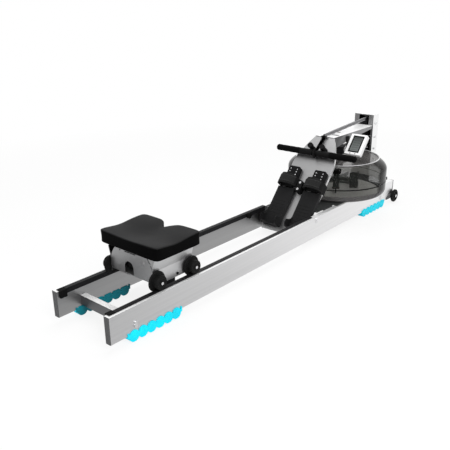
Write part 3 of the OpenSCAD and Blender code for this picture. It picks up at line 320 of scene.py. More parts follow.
def over(tree, a, b):
    return maths(tree, "GREATER_THAN", a, b)


def under(tree, a, b):
    return maths(tree, "LESS_THAN", a, b)


def vectors(tree, operation, a, b=(0, 0, 0), result="Vector"):
    return add(tree, "VectorMath", {0: a, 1: b}, operation=operation).outputs[result]


def coordinate(tree, vector, axis):
    return add(tree, "SeparateXYZ", {0: vector}).outputs[axis]


def span(tree, value, low, high, first=0.0, last=1.0, kind="LINEAR"):
    """A value that goes from first to last while another goes from low to high."""
    return add(tree, "MapRange", {0: value, 1: low, 2: high, 3: first, 4: last},
            interpolation_type=kind).outputs[0]


def noise(tree, vector, scale, detail=2.0):
    return add(tree, "TexNoise", {"Vector": vector, "Scale": scale, "Detail": detail}).outputs[0]


def fours(c, k=1.0):
    """A colour with its alpha, k times as bright. A single number stands for a grey."""
    c = (c, c, c) if isinstance(c, float) else c
    return (c[0] * k, c[1] * k, c[2] * k, 1.0)


def mix(tree, amount, a, b, blend="MIX"):
    """Colour a where amount is 0 and b where it is 1."""
    a, b = (c if linked(c) else fours(c) for c in (a, b))
    return add(tree, "Mix", {0: amount, 6: a, 7: b}, data_type="RGBA", blend_type=blend).outputs[2]


def mix_value(tree, amount, a, b):
    """Value a where amount is 0 and b where it is 1."""
    return add(tree, "Mix", {"Factor": amount, "A": a, "B": b}).outputs[0]


def past(tree, where, axis, limit, reach=0.0004, size_only=False, below=False):
    """Mask of the places whose coordinate on the axis, or its size, is past the limit, or below it."""
    value = coordinate(tree, where, axis)
    if size_only:
        value = maths(tree, "ABSOLUTE", value)
    return span(tree, value, limit, limit + reach, float(below), float(not below))


def within(tree, where, half):
    """Mask of the places nearer to the middle plane than half."""
    return past(tree, where, 1, half, size_only=True, below=True)


def surface_normal(tree):
    return add(tree, "NewGeometry").outputs["Normal"]


# ---- shader groups

def group(name, ins, outs):
    """An empty shader group with named sockets. None stands for a vector without a value."""
    tree = bpy.data.node_groups.new(name, "ShaderNodeTree")
    for label, value in ins:
        kind = "NodeSocketFloat" if isinstance(value, float) else "NodeSocketVector"
        socket = tree.interface.new_socket(name=label, in_out="INPUT", socket_type=kind)
        if value is not None:
            socket.default_value = value
    for label in outs:
        kind = "NodeSocketVector" if label == "Normal" else "NodeSocketFloat"
        tree.interface.new_socket(name=label, in_out="OUTPUT", socket_type=kind)
    return tree, tree.nodes.new("NodeGroupInput").outputs, tree.nodes.new("NodeGroupOutput").inputs


@cache
def brushed_group():
    """Fine lines along x: noise on coordinates stretched across the lines, in two widths."""
    t, i, o = group("Brushed lines", [("Vector", None), ("Stretch", (4, 900, 900))], ["Height", "Tone"])
    p = vectors(t, "MULTIPLY", i["Vector"], i["Stretch"])
    fine = noise(t, p, 1.0)
    broad = noise(t, vectors(t, "MULTIPLY", p, (0.35, 0.12, 0.12)), 1.0, 1.0)
    tone = maths(t, "ADD", times(t, fine, 0.5), times(t, broad, 0.5))
    feed(t, o, {"Height": fine, "Tone": tone})
    return t


@cache
def grain_group():
    """Moulded grain: small cells over a soft unevenness."""
    t, i, o = group("Moulded grain", [("Vector", None), ("Scale", 900.0)], ["Height", "Tone"])
    cells = add(t, "TexVoronoi", {"Vector": i["Vector"], "Scale": i["Scale"]}).outputs["Distance"]
    feed(t, o, {"Height": cells, "Tone": noise(t, i["Vector"], 14.0, 3.0)})
    return t


@cache
def weave_group():
    """Woven threads: sin(u) * sin(v) over ribs that run across the band."""
    t, i, o = group("Weave", [("Vector", None), ("Threads", 5000.0)], ["Height", "Tone"])
    waves = [maths(t, "SINE", times(t, coordinate(t, i["Vector"], k), i["Threads"])) for k in (0, 1)]
    cross = times(t, *waves)
    tone = maths(t, "ADD", times(t, cross, 0.25), noise(t, i["Vector"], 220.0))
    feed(t, o, {"Height": maths(t, "MULTIPLY_ADD", cross, 0.5), "Tone": tone})
    return t


@cache
def wear_and_highlight_group():
    """Normal of a small bevel, and a mask of the edges where it leaves the surface's own normal. The mask
    paints the edges paler, partly as rubbing and partly as a painted highlight.
    """
    t, i, o = group("Edge wear", [("Radius", 0.0012), ("Vector", None)], ["Mask", "Normal"])
    round_normal = add(t, "Bevel", {"Radius": i["Radius"]}, samples=4).outputs[0]
    dot = vectors(t, "DOT_PRODUCT", round_normal, surface_normal(t), "Value")
    edge = maths(t, "MULTIPLY", maths(t, "SUBTRACT", 1.0, dot), 5.0, clamp=True)
    mask = times(t, edge, noise(t, i["Vector"], 60.0, 3.0))
    feed(t, o, {"Mask": mask, "Normal": round_normal})
    return t


@cache
def ribs_group():
    """Ribs across one direction: a sine of the coordinate along it, flattened at its crests."""
    t, i, o = group("Ribs", [("Vector", None), ("Along", (1, 0, 0)), ("Pitch", 0.004)], ["Height"])
    run = vectors(t, "DOT_PRODUCT", i["Vector"], i["Along"], "Value")
    turns = times(t, maths(t, "DIVIDE", run, i["Pitch"]), 2 * math.pi)
    wave = times(t, maths(t, "SINE", turns), 1.6)
    feed(t, o, {"Height": span(t, wave, -1.0, 1.0)})
    return t


def shared(tree, maker, where, **values):
    """A shared group placed in a material, with this material's own values."""
    return add(tree, "Group", {"Vector": where, **values}, node_tree=maker()).outputs


# ---- finishes

def finish_base(name, uv=False):
    """A material with its tree, its shader's inputs and its texture coordinates."""
    m = bpy.data.materials.new(name)
    m.use_nodes = True
    t = m.node_tree
    where = add(t, "TexCoord").outputs["UV" if uv else "Object"]
    return m, t, t.nodes["Principled BSDF"].inputs, where


def vary(t, b, g, colour, levels, rough, bump, wear_and_highlight=None, paleness=1.6, gloss=0.5, height=None):
    """Brightness and roughness between two values each with the group's tone, edges paler, partly rubbed
    and partly a painted highlight, and a bump of a strength and distance over the rounded edges. colour is
    numbers or a colour socket."""
    if linked(colour):
        shades = [mix(t, 1.0, colour, fours(k), "MULTIPLY") for k in (*levels, paleness)]
    else:
        shades = [fours(colour, k) for k in (*levels, paleness)]
    base = mix(t, g["Tone"], shades[0], shades[1])
    relief = {"Height": height or g["Height"], "Strength": bump[0], "Distance": bump[1]}
    # Edges paler, partly rubbed and partly a painted highlight
    if wear_and_highlight is not None:
        base = mix(t, wear_and_highlight["Mask"], base, shades[2])
        relief["Normal"] = wear_and_highlight["Normal"]
    feed(t, b, {"Base Color": base, "Roughness": span(t, g["Tone"], 0.0, 1.0, *rough),
            "Specular IOR Level": gloss, "Normal": add(t, "Bump", relief).outputs[0]})


def brushed_metal(name, colour, stretch, rough=(0.26, 0.40), strength=0.05, top=None, side=None, run=None,
        inside=None, hollow=None, flank=None, inward=False, spread=(0.9, 1.08), sheen=0.45):
    """Brushed metal with lines along the direction that stretch leaves long. top and side hold a height or
    half width past which another colour is painted on as light or shade, inside a half width within which
    a darker colour is painted as shade, and flank an axis and the colour painted as light or shade on the
    faces along it. run holds two places along x with a colour at each, a painted gradient of light, and
    hollow two places along x and a half width between which the channel's inside has painted shade. inward
    paints shade on the faces towards the middle or down, and sheen is how metallic the top stays."""
    m, t, b, where = finish_base(name)
    lines = shared(t, brushed_group, where, Stretch=stretch)
    wear_and_highlight = shared(t, wear_and_highlight_group, where, Radius=sizes().round_edge)
    shade, metallic = colour, 1.0
    # Painted light: a gradient along x between two colours
    if run:
        part = span(t, coordinate(t, where, 0), run[0], run[1])
        shade = mix(t, part, run[2], run[3])
    # Painted light or shade on the faces past a half width
    if side:
        shade = mix(t, past(t, where, 1, side[0], size_only=True), shade, side[1])
    own = surface_normal(t)
    # Painted light or shade on the faces that look along an axis
    if flank:
        shade = mix(t, past(t, own, flank[0], 0.7, 0.1, size_only=True), shade, flank[1])
    # Painted shade, near black, on the faces that look towards the middle or down
    if inward:
        towards = times(t, coordinate(t, own, 1), coordinate(t, where, 1))
        middle = maths(t, "MAXIMUM", under(t, towards, -0.03), past(t, own, 2, -0.6, 0.2, below=True))
        shade = mix(t, middle, shade, 0.015)
    # Painted shade on the faces within a half width
    if inside:
        shade = mix(t, within(t, where, inside[0]), shade, inside[1])
    # Painted shade inside the channel
    if hollow:
        shaded = times(t, past(t, where, 0, hollow[0]), past(t, where, 0, hollow[1], below=True),
                within(t, where, hollow[2]))
        shade = mix(t, shaded, shade, PAINTED_SHADE_GREY)
    # Painted light on the top
    if top:
        above = past(t, where, 2, top[0])
        shade = mix(t, above, shade, top[1])
        metallic = span(t, above, 0.0, 1.0, 1.0, sheen)
    vary(t, b, lines, shade, spread, rough, (strength, 0.0003), wear_and_highlight, 1.25)
    feed(t, b, {"Metallic": metallic})
    return m


def moulded(name, colour, rough=(0.42, 0.58), scale=900.0, strength=0.22, paleness=2.0, gloss=0.05,
        ribs=None, inside=None):
    """Moulded plastic or rubber with fine grain and slightly paler edges, partly rubbed and partly a
    painted highlight. ribs is a direction and a pitch, and inside a half width within which the faces have
    another colour, painted as shade."""
    m, t, b, where = finish_base(name)
    g = shared(t, grain_group, where, Scale=scale)
    wear_and_highlight = shared(t, wear_and_highlight_group, where, Radius=0.0012)
    height = None
    if ribs:
        raised = shared(t, ribs_group, where, Along=ribs[0], Pitch=ribs[1])["Height"]
        height = maths(t, "MULTIPLY_ADD", raised, 3.0, g["Height"])
    if inside:
        colour = mix(t, within(t, where, inside[0]), colour, inside[1])
    vary(t, b, g, colour, (0.8, 1.25), rough, (strength, 0.0002), wear_and_highlight, paleness, gloss, height)
    return m


def woven(name, colour, threads, paleness, stitches):
    """Webbing: threads from the band's own UV, with a soft sheen. stitches is the distance of two sewn
    lines from the band's middle."""
    m, t, b, where = finish_base(name, uv=True)
    w = shared(t, weave_group, where, Threads=threads)
    vary(t, b, w, colour, (0.7, paleness), (0.7, 0.9), (0.6, 0.0004), gloss=0.05)
    across = maths(t, "ABSOLUTE", coordinate(t, where, 1))
    off = maths(t, "ABSOLUTE", maths(t, "SUBTRACT", across, stitches))
    wave = maths(t, "SINE", times(t, coordinate(t, where, 0), 2100.0))
    sewn = times(t, under(t, off, 0.0007), over(t, wave, -0.4))
    cloth = b["Base Color"].links[0].from_socket
    base = mix(t, sewn, cloth, fours(colour, 4.5))
    feed(t, b, {"Base Color": base, "Sheen Weight": 0.03, "Sheen Roughness": 0.5})
    return m


def skin(name, colour):
    """Moulded foam's skin: fine pebbles, with painted light on the top and painted shade on the sides, and
    a glossier top.
    """
    m, t, b, where = finish_base(name)
    g = shared(t, grain_group, where, Scale=520.0)
    # Painted light and shade: the top paler and the sides darker
    upward = past(t, surface_normal(t), 2, 0.35, 0.5)
    shade = mix(t, upward, fours(colour, 0.3), fours(colour, 1.25))
    gloss = mix_value(t, upward, 0.012, 0.045)
    vary(t, b, g, shade, (0.75, 1.35), (0.36, 0.5), (0.25, 0.0004), gloss=gloss)
    return m


def grained(name, colour, scale, levels, rough, bump, edge=None, paleness=1.6, gloss=0.5, metallic=0.0,
        uv=False):
    """Fine cells over a soft unevenness, with edges paler, partly rubbed and partly a painted highlight,
    where edge gives their radius.
    """
    m, t, b, where = finish_base(name, uv)
    g = shared(t, grain_group, where, Scale=scale)
    wear_and_highlight = shared(t, wear_and_highlight_group, where, Radius=edge) if edge else None
    vary(t, b, g, colour, levels, rough, bump, wear_and_highlight, paleness, gloss)
    feed(t, b, {"Metallic": metallic})
    return m


def bright_metal(name, colour, rough=(0.18, 0.3)):
    """Plated fasteners with faint tooling marks."""
    return grained(name, colour, 700.0, (0.85, 1.1), rough, (0.06, 0.0002), 0.0006, 1.15, metallic=1.0)


def smoked(name, colour, rim=None):
    """Smoked clear plastic with flow marks. A face hides little seen square on, and nearly all where it
    turns away. The far wall's inner face and the floor are nearly solid and pale, painted light for the
    light seen through the tank. Past the height rim the edge has a painted highlight, and the flat of the
    lid inside it hides more, with a paler grey painted as light."""
    m, t, b, where = finish_base(name)
    flow = noise(t, where, 9.0, 4.0)
    shade = mix(t, flow, fours(colour, 0.85), fours(colour, 1.2))
    facing = add(t, "LayerWeight", {"Blend": 0.5}).outputs["Facing"]
    turn = span(t, facing, 0.46, 0.62, 0.10, 0.94, "SMOOTHSTEP")
    off = vectors(t, "MULTIPLY", vectors(t, "SUBTRACT", where, (TANK_X, 0, 0)), (1, 1, 0))
    reach = vectors(t, "LENGTH", off, result="Value")
    front = maths(t, "SUBTRACT", 1.0, add(t, "NewGeometry").outputs["Backfacing"])
    # Far wall: above the rounded corner, inside the outer face 0.258 - 0.046 k^2 of wall and shoulder
    rise = span(t, coordinate(t, where, 2), TANK_Z + 0.132, TANK_Z + 0.184)
    outer = maths(t, "SUBTRACT", 0.258, times(t, rise, rise, 0.046))
    wall = times(t, past(t, where, 2, TANK_Z + 0.036), past(t, where, 2, TANK_Z + 0.150, 0.02, below=True),
            over(t, reach, 0.21), under(t, reach, outer), front)
    floor = times(t, past(t, where, 2, TANK_Z + 0.0065, below=True), under(t, reach, 0.236))
    corner = past(t, where, 2, TANK_Z + 0.034, 0.008, below=True)
    shade = mix(t, corner, shade, (0.060, 0.056, 0.060))
    # Painted light: the far wall's inner face and the floor pale, for the light seen through the tank
    painted_inner_light = mix(t, flow, (0.60, 0.59, 0.555), (0.80, 0.785, 0.745))
    shade = mix(t, maths(t, "MAXIMUM", wall, floor), shade, painted_inner_light)
    hide = chain(t, "MAXIMUM", turn, times(t, corner, 0.5), times(t, wall, 0.85), floor)
    gloss = 0.12
    if rim:
        # Painted highlight on the rim's edge, and a paler grey painted as light on the lid's flat
        lip = past(t, where, 2, rim)
        flat = times(t, past(t, where, 2, TANK_Z + 0.178), under(t, reach, 0.2145))
        shade = mix(t, flat, shade, (0.12, 0.115, 0.113))
        shade = mix(t, lip, shade, (0.75, 0.75, 0.76))
        hide = maths(t, "MAXIMUM", mix_value(t, flat, hide, 0.72), times(t, lip, 0.95))
        gloss = mix_value(t, flat, 0.12, 0.8)
    # Light on its way in is held back less than the view
    shadow = add(t, "LightPath").outputs["Is Shadow Ray"]
    feed(t, b, {"Base Color": shade, "Alpha": times(t, hide, mix_value(t, shadow, 1.0, 0.35)),
            "Roughness": span(t, flow, 0.0, 1.0, 0.04, 0.12), "IOR": 1.45, "Specular IOR Level": gloss})
    return m


def clear_water(name):
    """Still water, slightly tinted."""
    m, t, b, where = finish_base(name)
    ripple = noise(t, where, 30.0)
    bump = add(t, "Bump", {"Height": ripple, "Strength": 0.15, "Distance": 0.002})
    feed(t, b, {"Normal": bump.outputs[0], "Roughness": 0.05, "IOR": 1.33, "Alpha": 0.07,
            "Base Color": mix(t, ripple, (0.20, 0.22, 0.20), (0.30, 0.33, 0.30))})
    return m


def braided(name, colour, threads):
    """A cord's braid from its own UV."""
    m, t, b, where = finish_base(name, uv=True)
    w = shared(t, weave_group, where, Threads=threads)
    vary(t, b, w, colour, (0.8, 1.6), (0.5, 0.65), (0.3, 0.0002), gloss=0.3)
    return m


def display(name, colour):
    """Liquid crystal behind a clear window, from the pane's own UV: darker towards the top, with plain
    rows of short bars where the read-outs stand, and a fine cell pattern."""
    m, t, b, where = finish_base(name, uv=True)
    across = coordinate(t, where, 1)
    up = maths(t, "MULTIPLY_ADD", coordinate(t, where, 0), 1.0 / sizes().display_length, 0.5)
    row = maths(t, "FRACT", times(t, up, 6.0))
    cell = maths(t, "FRACT", times(t, across, 132.0))
    bars = times(t, over(t, row, 0.34), under(t, row, 0.72), over(t, cell, 0.42),
            under(t, maths(t, "ABSOLUTE", across), 0.019), 0.55)
    ground = mix(t, up, fours(colour, 1.35), fours(colour, 0.5))
    feed(t, b, {"Base Color": mix(t, bars, ground, fours(colour, 0.22)),
            "Roughness": span(t, noise(t, where, 900.0), 0.0, 1.0, 0.22, 0.36),
            "Specular IOR Level": 0.1, "Coat Weight": 0.12, "Coat Roughness": 0.08})
    return m


def dress(names, material):
    """Gives CAD nodes a finish. A star in a name stands for any letters."""
    for name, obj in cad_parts.items():
        if any(fnmatch(name, pattern) for pattern in names.split()):
            obj.data.materials.clear()
            obj.data.materials.append(material)


def give(obj, material, body, slot, *replaced):
    """A new piece's finish, body and the CAD nodes it stands for. slot is not used."""
    obj.data.materials.clear()
    obj.data.materials.append(material)
    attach(obj, body)
    if replaced:
        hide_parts(*replaced)
    return obj


# ---- stage

def rays(tree):
    """Masks of the rays that come straight from the camera, also through clear pieces, and of the rays
    that are reflected."""
    seen = add(tree, "LightPath").outputs
    straight = maths(tree, "ADD", seen["Is Camera Ray"], seen["Is Transmission Ray"], clamp=True)
    return straight, seen["Is Glossy Ray"]


def pale_floor():
    """White under the camera, with the shadow kept near the machine. In reflections the floor darkens
    behind the seat, as towards the unlit end of a studio."""
    m = bpy.data.materials.new("pale_floor")
    m.use_nodes = True
    t = m.node_tree
    t.nodes.clear()
    where = add(t, "TexCoord").outputs["Object"]
    near = span(t, vectors(t, "LENGTH", where, result="Value"), 1.6, 3.2, 0.16, 0.0)
    straight, glossy = rays(t)
    behind = span(t, coordinate(t, where, 0), -2.2, 0.2, 0.5, 1.0)
    white = add(t, "Emission", {"Color": fours(1.0), "Strength": 1.0}).outputs[0]
    dim = add(t, "Emission", {"Color": fours(1.0), "Strength": behind}).outputs[0]
    pale = add(t, "BsdfDiffuse", {"Color": fours(0.92)}).outputs[0]
    lit = add(t, "MixShader", {0: glossy, 1: pale, 2: dim}).outputs[0]
    front = add(t, "MixShader", {0: near, 1: white, 2: pale}).outputs[0]
    whole = add(t, "MixShader", {0: straight, 1: lit, 2: front}).outputs[0]
    add(t, "OutputMaterial", {"Surface": whole})
    return m


class ROWER_OT_stage(bpy.types.Operator):
    """Adds the camera, floor, lamps and background"""
    bl_idname = "rower.stage"
    bl_label = "Stage"

    def execute(self, context):
        scene = context.scene
        scene.view_settings.view_transform = "Standard"
        yaw, pitch, roll = (math.radians(v) for v in CAMERA_TURN)
        flat = math.cos(pitch)
        forward = np.array([math.cos(yaw) * flat, math.sin(yaw) * flat, -math.sin(pitch)])
        level = np.array([math.sin(yaw), -math.cos(yaw), 0])
        upright = np.cross(level, forward)
        right = level * math.cos(roll) + upright * math.sin(roll)
        up = upright * math.cos(roll) - level * math.sin(roll)
        cam = bpy.data.objects.new("camera", bpy.data.cameras.new("camera"))
        scene.collection.objects.link(cam)
        rows = np.stack([right, up, -forward, CAMERA_PLACE], 1).tolist()
        cam.matrix_world = Matrix([*rows, [0, 0, 0, 1]])
        cam.data.sensor_width = SENSOR
        cam.data.sensor_fit = "HORIZONTAL"
        cam.data.lens = FOCAL_PIXELS / PHOTO_PIXELS * SENSOR
        cam.data.clip_end = 100.0
        scene.camera = cam

        floor = piece("floor", [(-30, -30, 0), (30, -30, 0), (30, 30, 0), (-30, 30, 0)], [(0, 1, 2, 3)])
        floor.data.materials.append(pale_floor())

        world = bpy.data.worlds.new("studio")
        scene.world = world
        world.use_nodes = True
        t = world.node_tree
        t.nodes.clear()
        straight, glossy = rays(t)
        way = coordinate(t, add(t, "TexCoord").outputs["Generated"], 0)
        soft = mix_value(t, glossy, 0.5, span(t, way, -0.9, 0.2, 0.45, 1.0))
        level = mix_value(t, straight, soft, 1.0)
        back = add(t, "Background", {"Color": fours(1.0), "Strength": level})
        add(t, "OutputWorld", {"Surface": back.outputs[0]})

        for name, where, target, width, power in (
                ("key", (-1.6, -2.8, 2.4), (0.1, 0, 0.2), 2.0, 70),
                ("top", (0.6, 0.4, 3.2), (0.2, 0, 0.2), 2.6, 55),
                ("rear", (-3.4, 1.4, 1.8), (-0.6, 0, 0.2), 1.6, 16)):
            lamp = bpy.data.lights.new(name, "AREA")
            lamp.size = width
            lamp.energy = power
            o = bpy.data.objects.new(name, lamp)
            scene.collection.objects.link(o)
            o.location = where
            o.rotation_euler = (Vector(target) - Vector(where)).to_track_quat("-Z", "Y").to_euler()
        return {"FINISHED"}


# ---- finishes of the solids

class ROWER_OT_metalwork(bpy.types.Operator):
    """Finishes the rails, sheets, tubes and fasteners"""
    bl_idname = "rower.metalwork"
    bl_label = "Metalwork"

    def execute(self, context):
        c = colours()
        inner = min(abs(RAIL_LOW.y), abs(RAIL_HIGH.y)) + FACE
        # Painted light on the rails' tops and a painted gradient of light along them, darker at the rear,
        # with painted shade on their inner faces
        dress("rail_left rail_right", brushed_metal(
            "brushed_rail", c.rail, (3, 900, 900), (0.30, 0.42), top=(RAIL_HIGH.z - FACE, PAINTED_LIGHT_GREY),
            run=(-1.1, 0.9, (0.62, 0.62, 0.625), (0.86, 0.855, 0.86)), inside=(inner, (0.36, 0.36, 0.362)),
            spread=(0.82, 1.12)))
        # Painted shade: the crossmembers' faces a dark grey, with painted light on their tops
        dress("*_crossmember", brushed_metal(
            "brushed_across", (0.16, 0.16, 0.165), (900, 4, 900), (0.30, 0.44),
            top=(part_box("rear_crossmember")[1].z - FACE, PAINTED_LIGHT_GREY)))
        # Painted light on the board's faces that look sideways
        dress("footboard", brushed_metal("brushed_board", c.steel, (900, 4, 900), (0.30, 0.44),
                flank=(1, PAINTED_LIGHT_GREY)))
        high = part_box("top_deck")[1]
        # Painted light on the deck's top and painted shade on its side flanges
        dress("top_deck", brushed_metal(
            "brushed_deck", c.steel, (4, 900, 900), (0.28, 0.42), top=(high.z - 0.001, PAINTED_LIGHT_GREY),
            side=(high.y - FACE, (0.27, 0.27, 0.275)), sheen=0.15))
        low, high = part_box("riser")
        # Painted light on the post's top and side faces, painted shade inside its channel and on its darker
        # grey front
        dress("riser", brushed_metal(
            "brushed_post", (0.27, 0.27, 0.272), (900, 900, 4), (0.28, 0.42), top=(high.z - FACE, PAINTED_LIGHT_GREY),
            side=(high.y - FACE, 0.93), hollow=(low.x + 0.0014, high.x - 0.0018, high.y - 0.0018)))
        # Painted shade on the carriage's faces that look along the rails, and near black on those that look
        # towards the middle or down
        dress("seat_carriage", brushed_metal(
            "satin_sheet", (0.66, 0.66, 0.665), (6, 500, 500), (0.36, 0.5), 0.04,
            flank=(0, (0.44, 0.44, 0.445)), inward=True))
        dress("frame_bolts axle_bolts footrest_screws seat_axle_bolts impeller_shaft",
              bright_metal("plated_steel", (0.72, 0.72, 0.73)))
        dress("impeller_bearings", bright_metal("sintered_bronze", (0.42, 0.28, 0.14), (0.35, 0.5)))
        return {"FINISHED"}


class ROWER_OT_mouldings(bpy.types.Operator):
    """Finishes the moulded, rubber and painted pieces"""
    bl_idname = "rower.mouldings"
    bl_label = "Mouldings"

    def execute(self, context):
        c = colours()
        inner = min(abs(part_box("feet_rear")[0].y), abs(RAIL_LOW.y), abs(RAIL_HIGH.y)) - 0.001
        # Painted shade: the feet's faces nearer the middle than the rails are dark teal
        dress("feet_*", moulded("cyan_rubber", c.feet, (0.4, 0.55), 700.0, 0.15, 1.1, 0.2,
                inside=(inner, (0.0, 0.19, 0.24))))
        dress("track_*", moulded("track_plastic", (0.009, 0.009, 0.010), (0.36, 0.5),
                gloss=0.1, ribs=((1, 0.6, 0), 0.012)))
        # Nodes, finish, colour, and where they differ roughness, grain, bump, paleness of the edges (rubbed
        # and painted highlight) and gloss
        for nodes, *finish in (
                ("rail_end_caps", "grey_cap", (0.10, 0.10, 0.102)),
                ("seat_stops tank_gasket", "stop_rubber", 0.006, (0.6, 0.75)),
                ("tank_tray", "tray_coat", (0.055, 0.058, 0.057), (0.35, 0.5), 1300.0, 0.1, 1.5, 0.25),
                ("monitor_bracket", "powder_coat", 0.008, (0.4, 0.5), 1300.0),
                ("footrest_left footrest_right", "footrest_nylon", c.plastic, (0.5, 0.65),
                1000.0, 0.3, 1.6),
                ("heel_rest_*", "heel_nylon", (0.015, 0.015, 0.0155), (0.35, 0.5), 1000.0, 0.2, 2.2),
                ("handle_pegs", "peg_rubber", 0.007, (0.5, 0.65)),
                ("*_pulley* clutch_drum fill_plug strap_link seat_keepers", "black_nylon",
                (0.012, 0.012, 0.013), (0.35, 0.5)),
                ("impeller", "paddle_plastic", 0.004, (0.35, 0.5)),
                ("transport_wheel_* seat_wheel_*", "wheel_rubber", 0.009, (0.4, 0.55), 1100.0, 0.2, 2.2),
                ("button_*", "button_silicone", 0.30, (0.5, 0.6))):
            dress(nodes, moulded(*finish))
        return {"FINISHED"}


class ROWER_OT_tank(bpy.types.Operator):
    """Finishes the tank's shells, its band and the water"""
    bl_idname = "rower.tank"
    bl_label = "Tank"

    def execute(self, context):
        c = colours().smoke
        dress("tank_base", smoked("smoked_base", c))
        dress("tank_lid", smoked("smoked_lid", c, rim=LID_Z))
        # The band is nearly clear, and its lugs, which stand out past it, are not
        band = moulded("band_coat", 0.006, (0.2, 0.3), 1300.0, 0.05, 1.5, 0.2)
        t = band.node_tree
        where = add(t, "TexCoord").outputs["Object"]
        off = vectors(t, "DISTANCE", where, (TANK_X, 0, TANK_Z + 0.072), "Value")
        feed(t, t.nodes["Principled BSDF"].inputs, {"Alpha": span(t, off, 0.262, 0.263, 0.22, 1.0)})
        dress("tank_band", band)
        dress("water", clear_water("still_water"))
        return {"FINISHED"}


# ---- soft pieces

class ROWER_OT_cushion(bpy.types.Operator):
    """Builds the seat cushion with its notch, crowned sides and basin"""
    bl_idname = "rower.cushion"
    bl_label = "Seat cushion"

    def execute(self, context):
        s = sizes()
        centre = RAIL_ORIGIN + [0.335, 0, 0.2203]
        a = np.linspace(0, 2 * np.pi, 360, endpoint=False)
        hx, hy = s.cushion_length / 2, s.cushion_width / 2
        # Outline: (|x| / hx)^15 + (|y| / hy)^15 = 1, less the notch in front
        power = 15
        reach = 1 / ((np.abs(np.cos(a)) / hx) ** power + (np.abs(np.sin(a)) / hy) ** power) ** (1 / power)
        notch = s.notch_depth * np.exp(-(reach * np.sin(a) / 0.030) ** 2)
        reach = np.where(np.cos(a) > 0, reach - notch, reach)
        # Rows of the skin from below: share of the outline, share of the height, and lift in millimetres
        control = np.array([
            [0.972, 0.0, 0], [0.992, 0.03, 0], [0.996, 0.1, 0], [0.993, 0.35, 0], [0.995, 0.6, 0],
            [0.999, 0.82, 0], [1.0, 0.9, 0], [0.996, 1.0, -2.6], [0.98, 1.0, -1.0], [0.95, 1.0, -0.2],
            [0.86, 1, 0], [0.74, 1, 0], [0.6, 1, 0], [0.45, 1, 0], [0.3, 1, 0], [0.15, 1, 0], [0.04, 1, 0]])
        rows = smooth_path(control, 90)
        scale, part, lift = rows[:, 0:1], rows[:, 1:2], rows[:, 2:3] / 1000
        x, y = reach * np.cos(a) * scale, reach * np.sin(a) * scale
        u, v = x / hx, y / hy
        top = (s.cushion_height - 0.007 * np.exp(-((u + 0.15) / 0.5) ** 2) * np.abs(v) ** 2
               - 0.013 * np.exp(-((u + 0.2) / 0.75) ** 2 - (v / 0.62) ** 2)
               - 0.005 * np.exp(-(y / 0.034) ** 2) * np.maximum(u, 0))
        z = top * np.clip(part, 0, 1) + lift
        rings = np.stack([x, y, z], -1) + centre
        cushion = lofted("seat_pad", rings, 60.0)
        give(cushion, skin("seat_skin", colours().cushion), "seat", "cushion_black", "seat_cushion")
        return {"FINISHED"}


def strap_route():
    """Middle line of the handle strap in the row frame, and its twist at each point: from the link over
    the top pulley, down round the turning pulley, and along to the drum, where it stands on edge. The
    first run leaves the top pulley's radius at the angle whose cosine is radius / distance."""
    wrap, wind, top, low = 23.4, 33.5, 426.99, 352.0
    link = np.array([BOARD_AT, 0]) + 551.7 * UP_BOARD[[0, 2]] + 10 * OFF_BOARD[[0, 2]]
    d = link - np.array([PULLEY_AT, top])
    start = math.pi - math.atan2(d[1], -d[0]) - math.acos(wrap / np.linalg.norm(d))
    tangent = arc(PULLEY_AT, top, wrap, start)
    turning = np.concatenate([link + (tangent - link) * np.linspace(0, 1, 40)[:, None],
            arc(PULLEY_AT, top, wrap, np.linspace(start, 0, 24)[1:]),
            arc(PULLEY_AT, low, wrap, np.linspace(0, -math.pi / 2, 20))])
    leave = PULLEY_AT - 30
    far = leave - TANK_AT
    lean = math.asin(wind / far)
    u = np.linspace(0, 1, 40)
    last = np.stack([leave + (wind * math.sin(lean) - far) * u, wind * math.cos(lean) * u,
            low - wrap + 0 * u], -1)
    route = np.concatenate([np.insert(turning, 1, 0.0, axis=1), last])
    twist = np.concatenate([np.zeros(len(turning)), np.minimum(1, 1.25 * u) * math.pi / 2])
    return route / 1000 + RAIL_ORIGIN, twist


def leader_path():
    """Middle line of the leader's webbing in the row frame: from the link's pin back along the upper
    layer, round the handle's bar, and along the lower layer to the pin."""
    bar, pin, layer, r = np.array([0.4417, 0.024]), np.array([0.544, 0.009]), 0.00078, 0.0132
    reach = np.linalg.norm(pin - bar)
    d = (pin - bar) / reach
    n = np.array([-d[1], d[0]])
    lean = math.asin((layer + 0.0008) / r) + 0.35
    back = np.linspace(reach - 0.008, 0.021, 24)[:, None]
    line = np.concatenate([arc(reach, 0, 0.0033, np.linspace(-2.4, 2.4, 15)), [[reach - 0.006, layer]],
            np.insert(back, 1, layer, axis=1),
            arc(0, 0, r, np.linspace(lean, 2 * np.pi - lean, 40)),
            np.insert(back[::-1], 1, -layer, axis=1)])
    flat = bar + line[:, 0:1] * d + line[:, 1:2] * n
    return on_board(flat[:, 0], 0.0, flat[:, 1])


